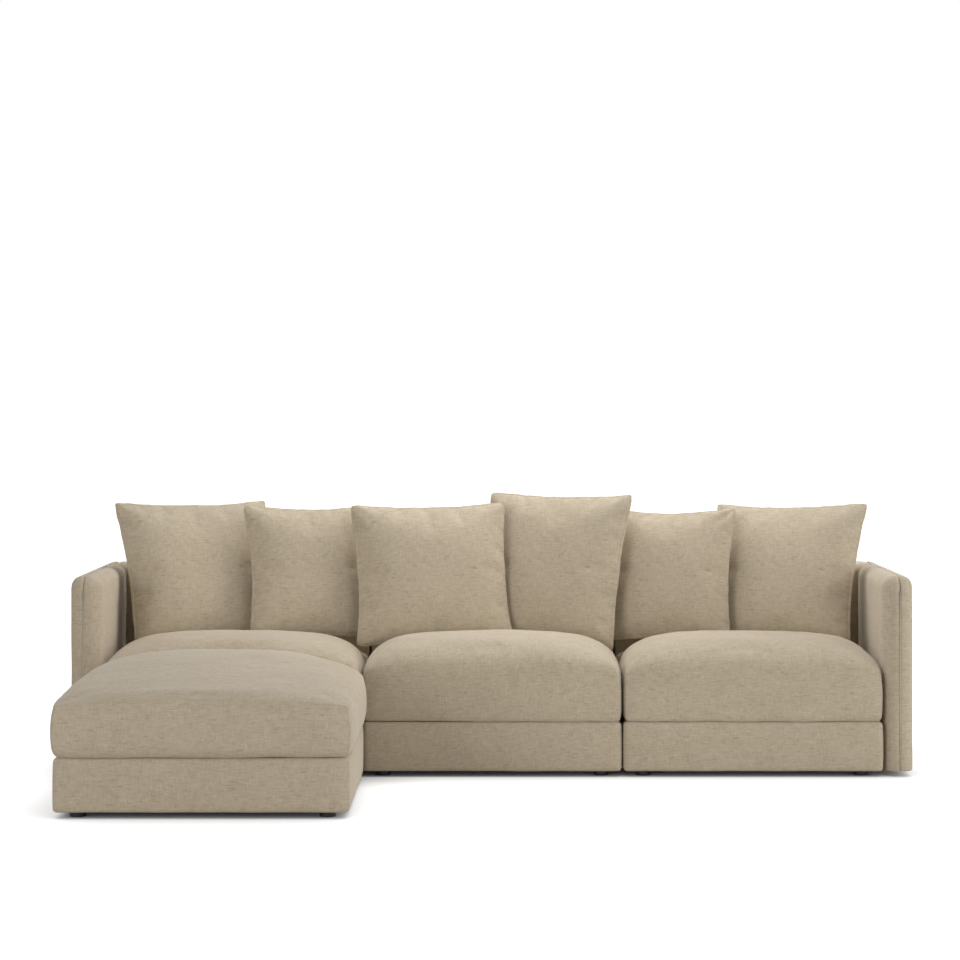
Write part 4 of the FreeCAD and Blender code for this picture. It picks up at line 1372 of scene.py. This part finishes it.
@dataclass
class Studio:
    """A white floor, soft light and the camera of the photograph."""

    focal: float = 103.5
    sensor: float = 36.0
    sight: float = 200.0
    spot: Triple = (0.021, -9.475, 1.311)
    shift: tuple[float, float] = (-0.0187, -0.0875)
    floor_size: float = 60.0
    floor_faces: tuple[int, int] = (2, 2)
    floor_shade: Colour = (0.65, 0.65, 0.65, 1.0)
    shadow_reach: float = 0.3
    shadow_samples: int = 8
    surround: float = 0.36
    lamps: tuple[Lamp, ...] = (
        Lamp("front_left_lamp", (-4.5, -7.5, 1.5), (0.0, 0.0, 0.4), (4.0, 4.0), 220.0),
        Lamp("front_right_lamp", (4.0, -7.5, 1.5), (0.0, 0.0, 0.4), (4.0, 4.0), 90.0),
        Lamp("right_lamp", (6.0, -1.2, 1.4), (0.0, 0.0, 0.4), (3.5, 3.5), 150.0),
        Lamp("top_lamp", (0.3, 0.9, 2.3), (0.3, -0.1, 0.4), (2.8, 1.2), 37.0),
        Lamp("back_lamp", (1.5, 7.5, 1.6), (0.0, 0.9, 0.4), (4.0, 4.0), 110.0),
    )

    def build(self) -> None:
        """Sets up the camera, floor, world and lamps."""
        scene = bpy.context.scene
        scene.view_settings.view_transform = "Standard"
        data = bpy.data.cameras.new("camera")
        data.lens = self.focal
        data.sensor_width = self.sensor
        data.shift_x, data.shift_y = self.shift
        data.clip_end = self.sight
        camera = bpy.data.objects.new("camera", data)
        scene.collection.objects.link(camera)
        camera.location = self.spot
        camera.rotation_euler = (math.pi / 2, 0, 0)
        scene.camera = camera
        self.lay_floor()
        self.light_world()
        for lamp in self.lamps:
            lamp.hang()

    @staticmethod
    def show(shader: Shader, lit: Step, seen: Step, output: str) -> None:
        """Ends a surface that looks otherwise than it lights.

        Args:
            shader: Its nodes.
            lit: How it lights the sofa.
            seen: How a camera, a gloss or a glass sees it.
            output: The type of its output node.
        """
        path = shader.node("ShaderNodeLightPath")
        rays = path.out("Is Camera Ray") + path.out("Is Glossy Ray") + path.out("Is Transmission Ray")
        values = {0: rays.between(0.0, 1.0), 1: lit.out(), 2: seen.out()}
        mix = shader.node("ShaderNodeMixShader", None, values)
        shader.node(output, None, {"Surface": mix.out()})

    def lay_floor(self) -> None:
        """Lays the white floor, which keeps the cast shadow, with a painted shadow where ambient
        occlusion dims the glow that a camera sees.
        """
        floor = Sculpt.sheet("floor", self.floor_faces, self.floor_size, self.floor_size)
        shader = Shader(bpy.data.materials.new("white_floor"))
        matte = shader.node("ShaderNodeBsdfDiffuse", None, {"Color": self.floor_shade})
        samples, reach = {"samples": self.shadow_samples}, {"Distance": self.shadow_reach}
        # Painted shadow: ambient occlusion dims the floor's white glow under and around the sofa and
        # footstool.
        painted_shadow_ao = shader.node("ShaderNodeAmbientOcclusion", samples, reach).out("AO")
        glow = shader.node("ShaderNodeEmission", None, {"Color": WHITE, "Strength": painted_shadow_ao})
        both = shader.node("ShaderNodeAddShader", None, {0: matte.out(), 1: glow.out()})
        self.show(shader, matte, both, "ShaderNodeOutputMaterial")
        dress(floor.obj, shader.owner)

    def light_world(self) -> None:
        """Sets up a white surround that lights softly."""
        world = bpy.data.worlds.new("studio")
        bpy.context.scene.world = world
        shader = Shader(world)
        soft, white = (
            shader.node("ShaderNodeBackground", None, {"Color": WHITE, "Strength": strength})
            for strength in (self.surround, 1.0)
        )
        self.show(shader, soft, white, "ShaderNodeOutputWorld")


@dataclass
class Sofa:
    """The whole set, with each scatter cushion's size, turn, lean, roll and taper."""

    wardrobe: Wardrobe
    modules: tuple[str, ...] = ("left", "centre", "right")
    pillows: tuple[tuple[PillowSize, float, float, float, float], ...] = (
        (PillowSize.LARGE, 21, 21, 0, 0.11),
        (PillowSize.SMALL, 14, 18, -1, 0.06),
        (PillowSize.FRONT, 8, 17, 1, 0.0),
        (PillowSize.UPRIGHT, -20, 17, 0, 0.08),
        (PillowSize.SMALL, -14, 18, 1, 0.03),
        (PillowSize.LARGE, -21, 21, 1, 0.11),
    )
    folded: int = 5
    seat_fill: float = 0.85
    pillow_fill: float = 0.6
    cover_fill: float = 0.9
    panel_fill: float = 1.0

    def build(self) -> None:
        """Builds every piece in order."""
        self.build_cushions()
        self.build_covers()
        self.build_undersides()
        self.dress_nodes()

    def build_cushions(self) -> None:
        """Stuffs the seat, footstool and scatter cushions together."""
        cushions: list[SeatCushion | ScatterCushion] = []
        for number, side in enumerate(self.modules, start=1):
            nodes = (f"{side}_seat_cover", f"{side}_seat_foam")
            cushions.append(SeatCushion(
                f"{side}_seat_cushion", nodes, "sofa", self.seat_fill,
                forward=0.05, dip=0.72, seed=number
            ))
        nodes = ("footstool_cushion_cover", "footstool_cushion_foam")
        cushions.append(SeatCushion(
            "footstool_seat_cushion", nodes, "footstool_cushion", self.seat_fill, faces=(46, 46),
            bulge=0.008, spill=0.007, corner=0.012, tuck=0.010, tuck_height=0.022, fullness=0.62,
            arch=2.0, forward=-0.20, sink=0.006, seed=4
        ))
        for number, pillow in enumerate(self.pillows, start=1):
            body = f"scatter_cushion_{number}"
            nodes = (f"{body}_cover", f"{body}_insert")
            corner = (1, 1) if number == self.folded else (0, 0)
            cushions.append(ScatterCushion(
                f"{body}_pillow", nodes, body, self.pillow_fill, *pillow, corner, number
            ))
        for cushion in cushions:
            cushion.build()
        inflate([(cushion.shell, cushion.filling) for cushion in cushions])
        for cushion in cushions:
            cushion.finish(self.wardrobe)

    def build_covers(self) -> None:
        """Builds the padded bases, backs and arms."""
        covers: list[PaddedCover | ArmPiping] = []
        fill = self.cover_fill
        for side in self.modules:
            covers.append(BaseBorder(f"{side}_base_border", (f"{side}_base_cover",), "sofa", fill))
            covers.append(BackRest(f"{side}_back_rest", (f"{side}_back_cover",), "sofa", fill))
        covers.append(BaseBorder("footstool_base_border", ("footstool_base_cover",), "footstool", fill))
        for side, sign in (("left", -1), ("right", 1)):
            covers.append(ArmShell(
                f"{side}_arm_outer_shell", (f"{side}_arm_outer_panel",), "sofa", self.panel_fill,
                outward=sign
            ))
            covers.append(ArmShell(
                f"{side}_arm_inner_shell", (f"{side}_arm_inner_pad",), "sofa", fill,
                outward=-sign, edge_round=Round(0.038, 6), sweep=0.05
            ))
            covers.append(ArmPiping(f"{side}_arm_seam_piping", f"{side}_arm_piping"))
        for cover in covers:
            cover.build(self.wardrobe)

    def build_undersides(self) -> None:
        """Builds the dust covers and the webbing."""
        for side in self.modules + ("footstool",):
            body = "footstool" if side == "footstool" else "sofa"
            frame_node = f"{side}_base_frame"
            DustCover(f"{side}_dust_sheet", f"{side}_dust_cover", frame_node, body).build(self.wardrobe)
            Webbing(f"{side}_webbing_straps", f"{side}_webbing", body).build(self.wardrobe)

    def dress_nodes(self) -> None:
        """Gives the CAD nodes that stay their finishes."""
        finishes = {
            ("_feet",): self.wardrobe.plastic,
            ("_base_frame", "_back_frame", "_arm_frame"): self.wardrobe.timber,
            ("joining_plates", "joining_screws", "back_bolts", "arm_bolts"): self.wardrobe.steel,
        }
        for name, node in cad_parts.items():
            for endings, material in finishes.items():
                if name.endswith(endings) and not node.hide_render:
                    dress(node, material)
                    activate(node)
                    bpy.ops.object.shade_smooth_by_angle(angle=SHARP_ANGLE)
                    LOG.info("%s: dressed", name)


def main() -> None:
    logging.basicConfig(level=logging.INFO, format="%(name)s: %(message)s")
    Sofa(Wardrobe()).build()
    Studio().build()


if __name__ == "__main__":
    main()
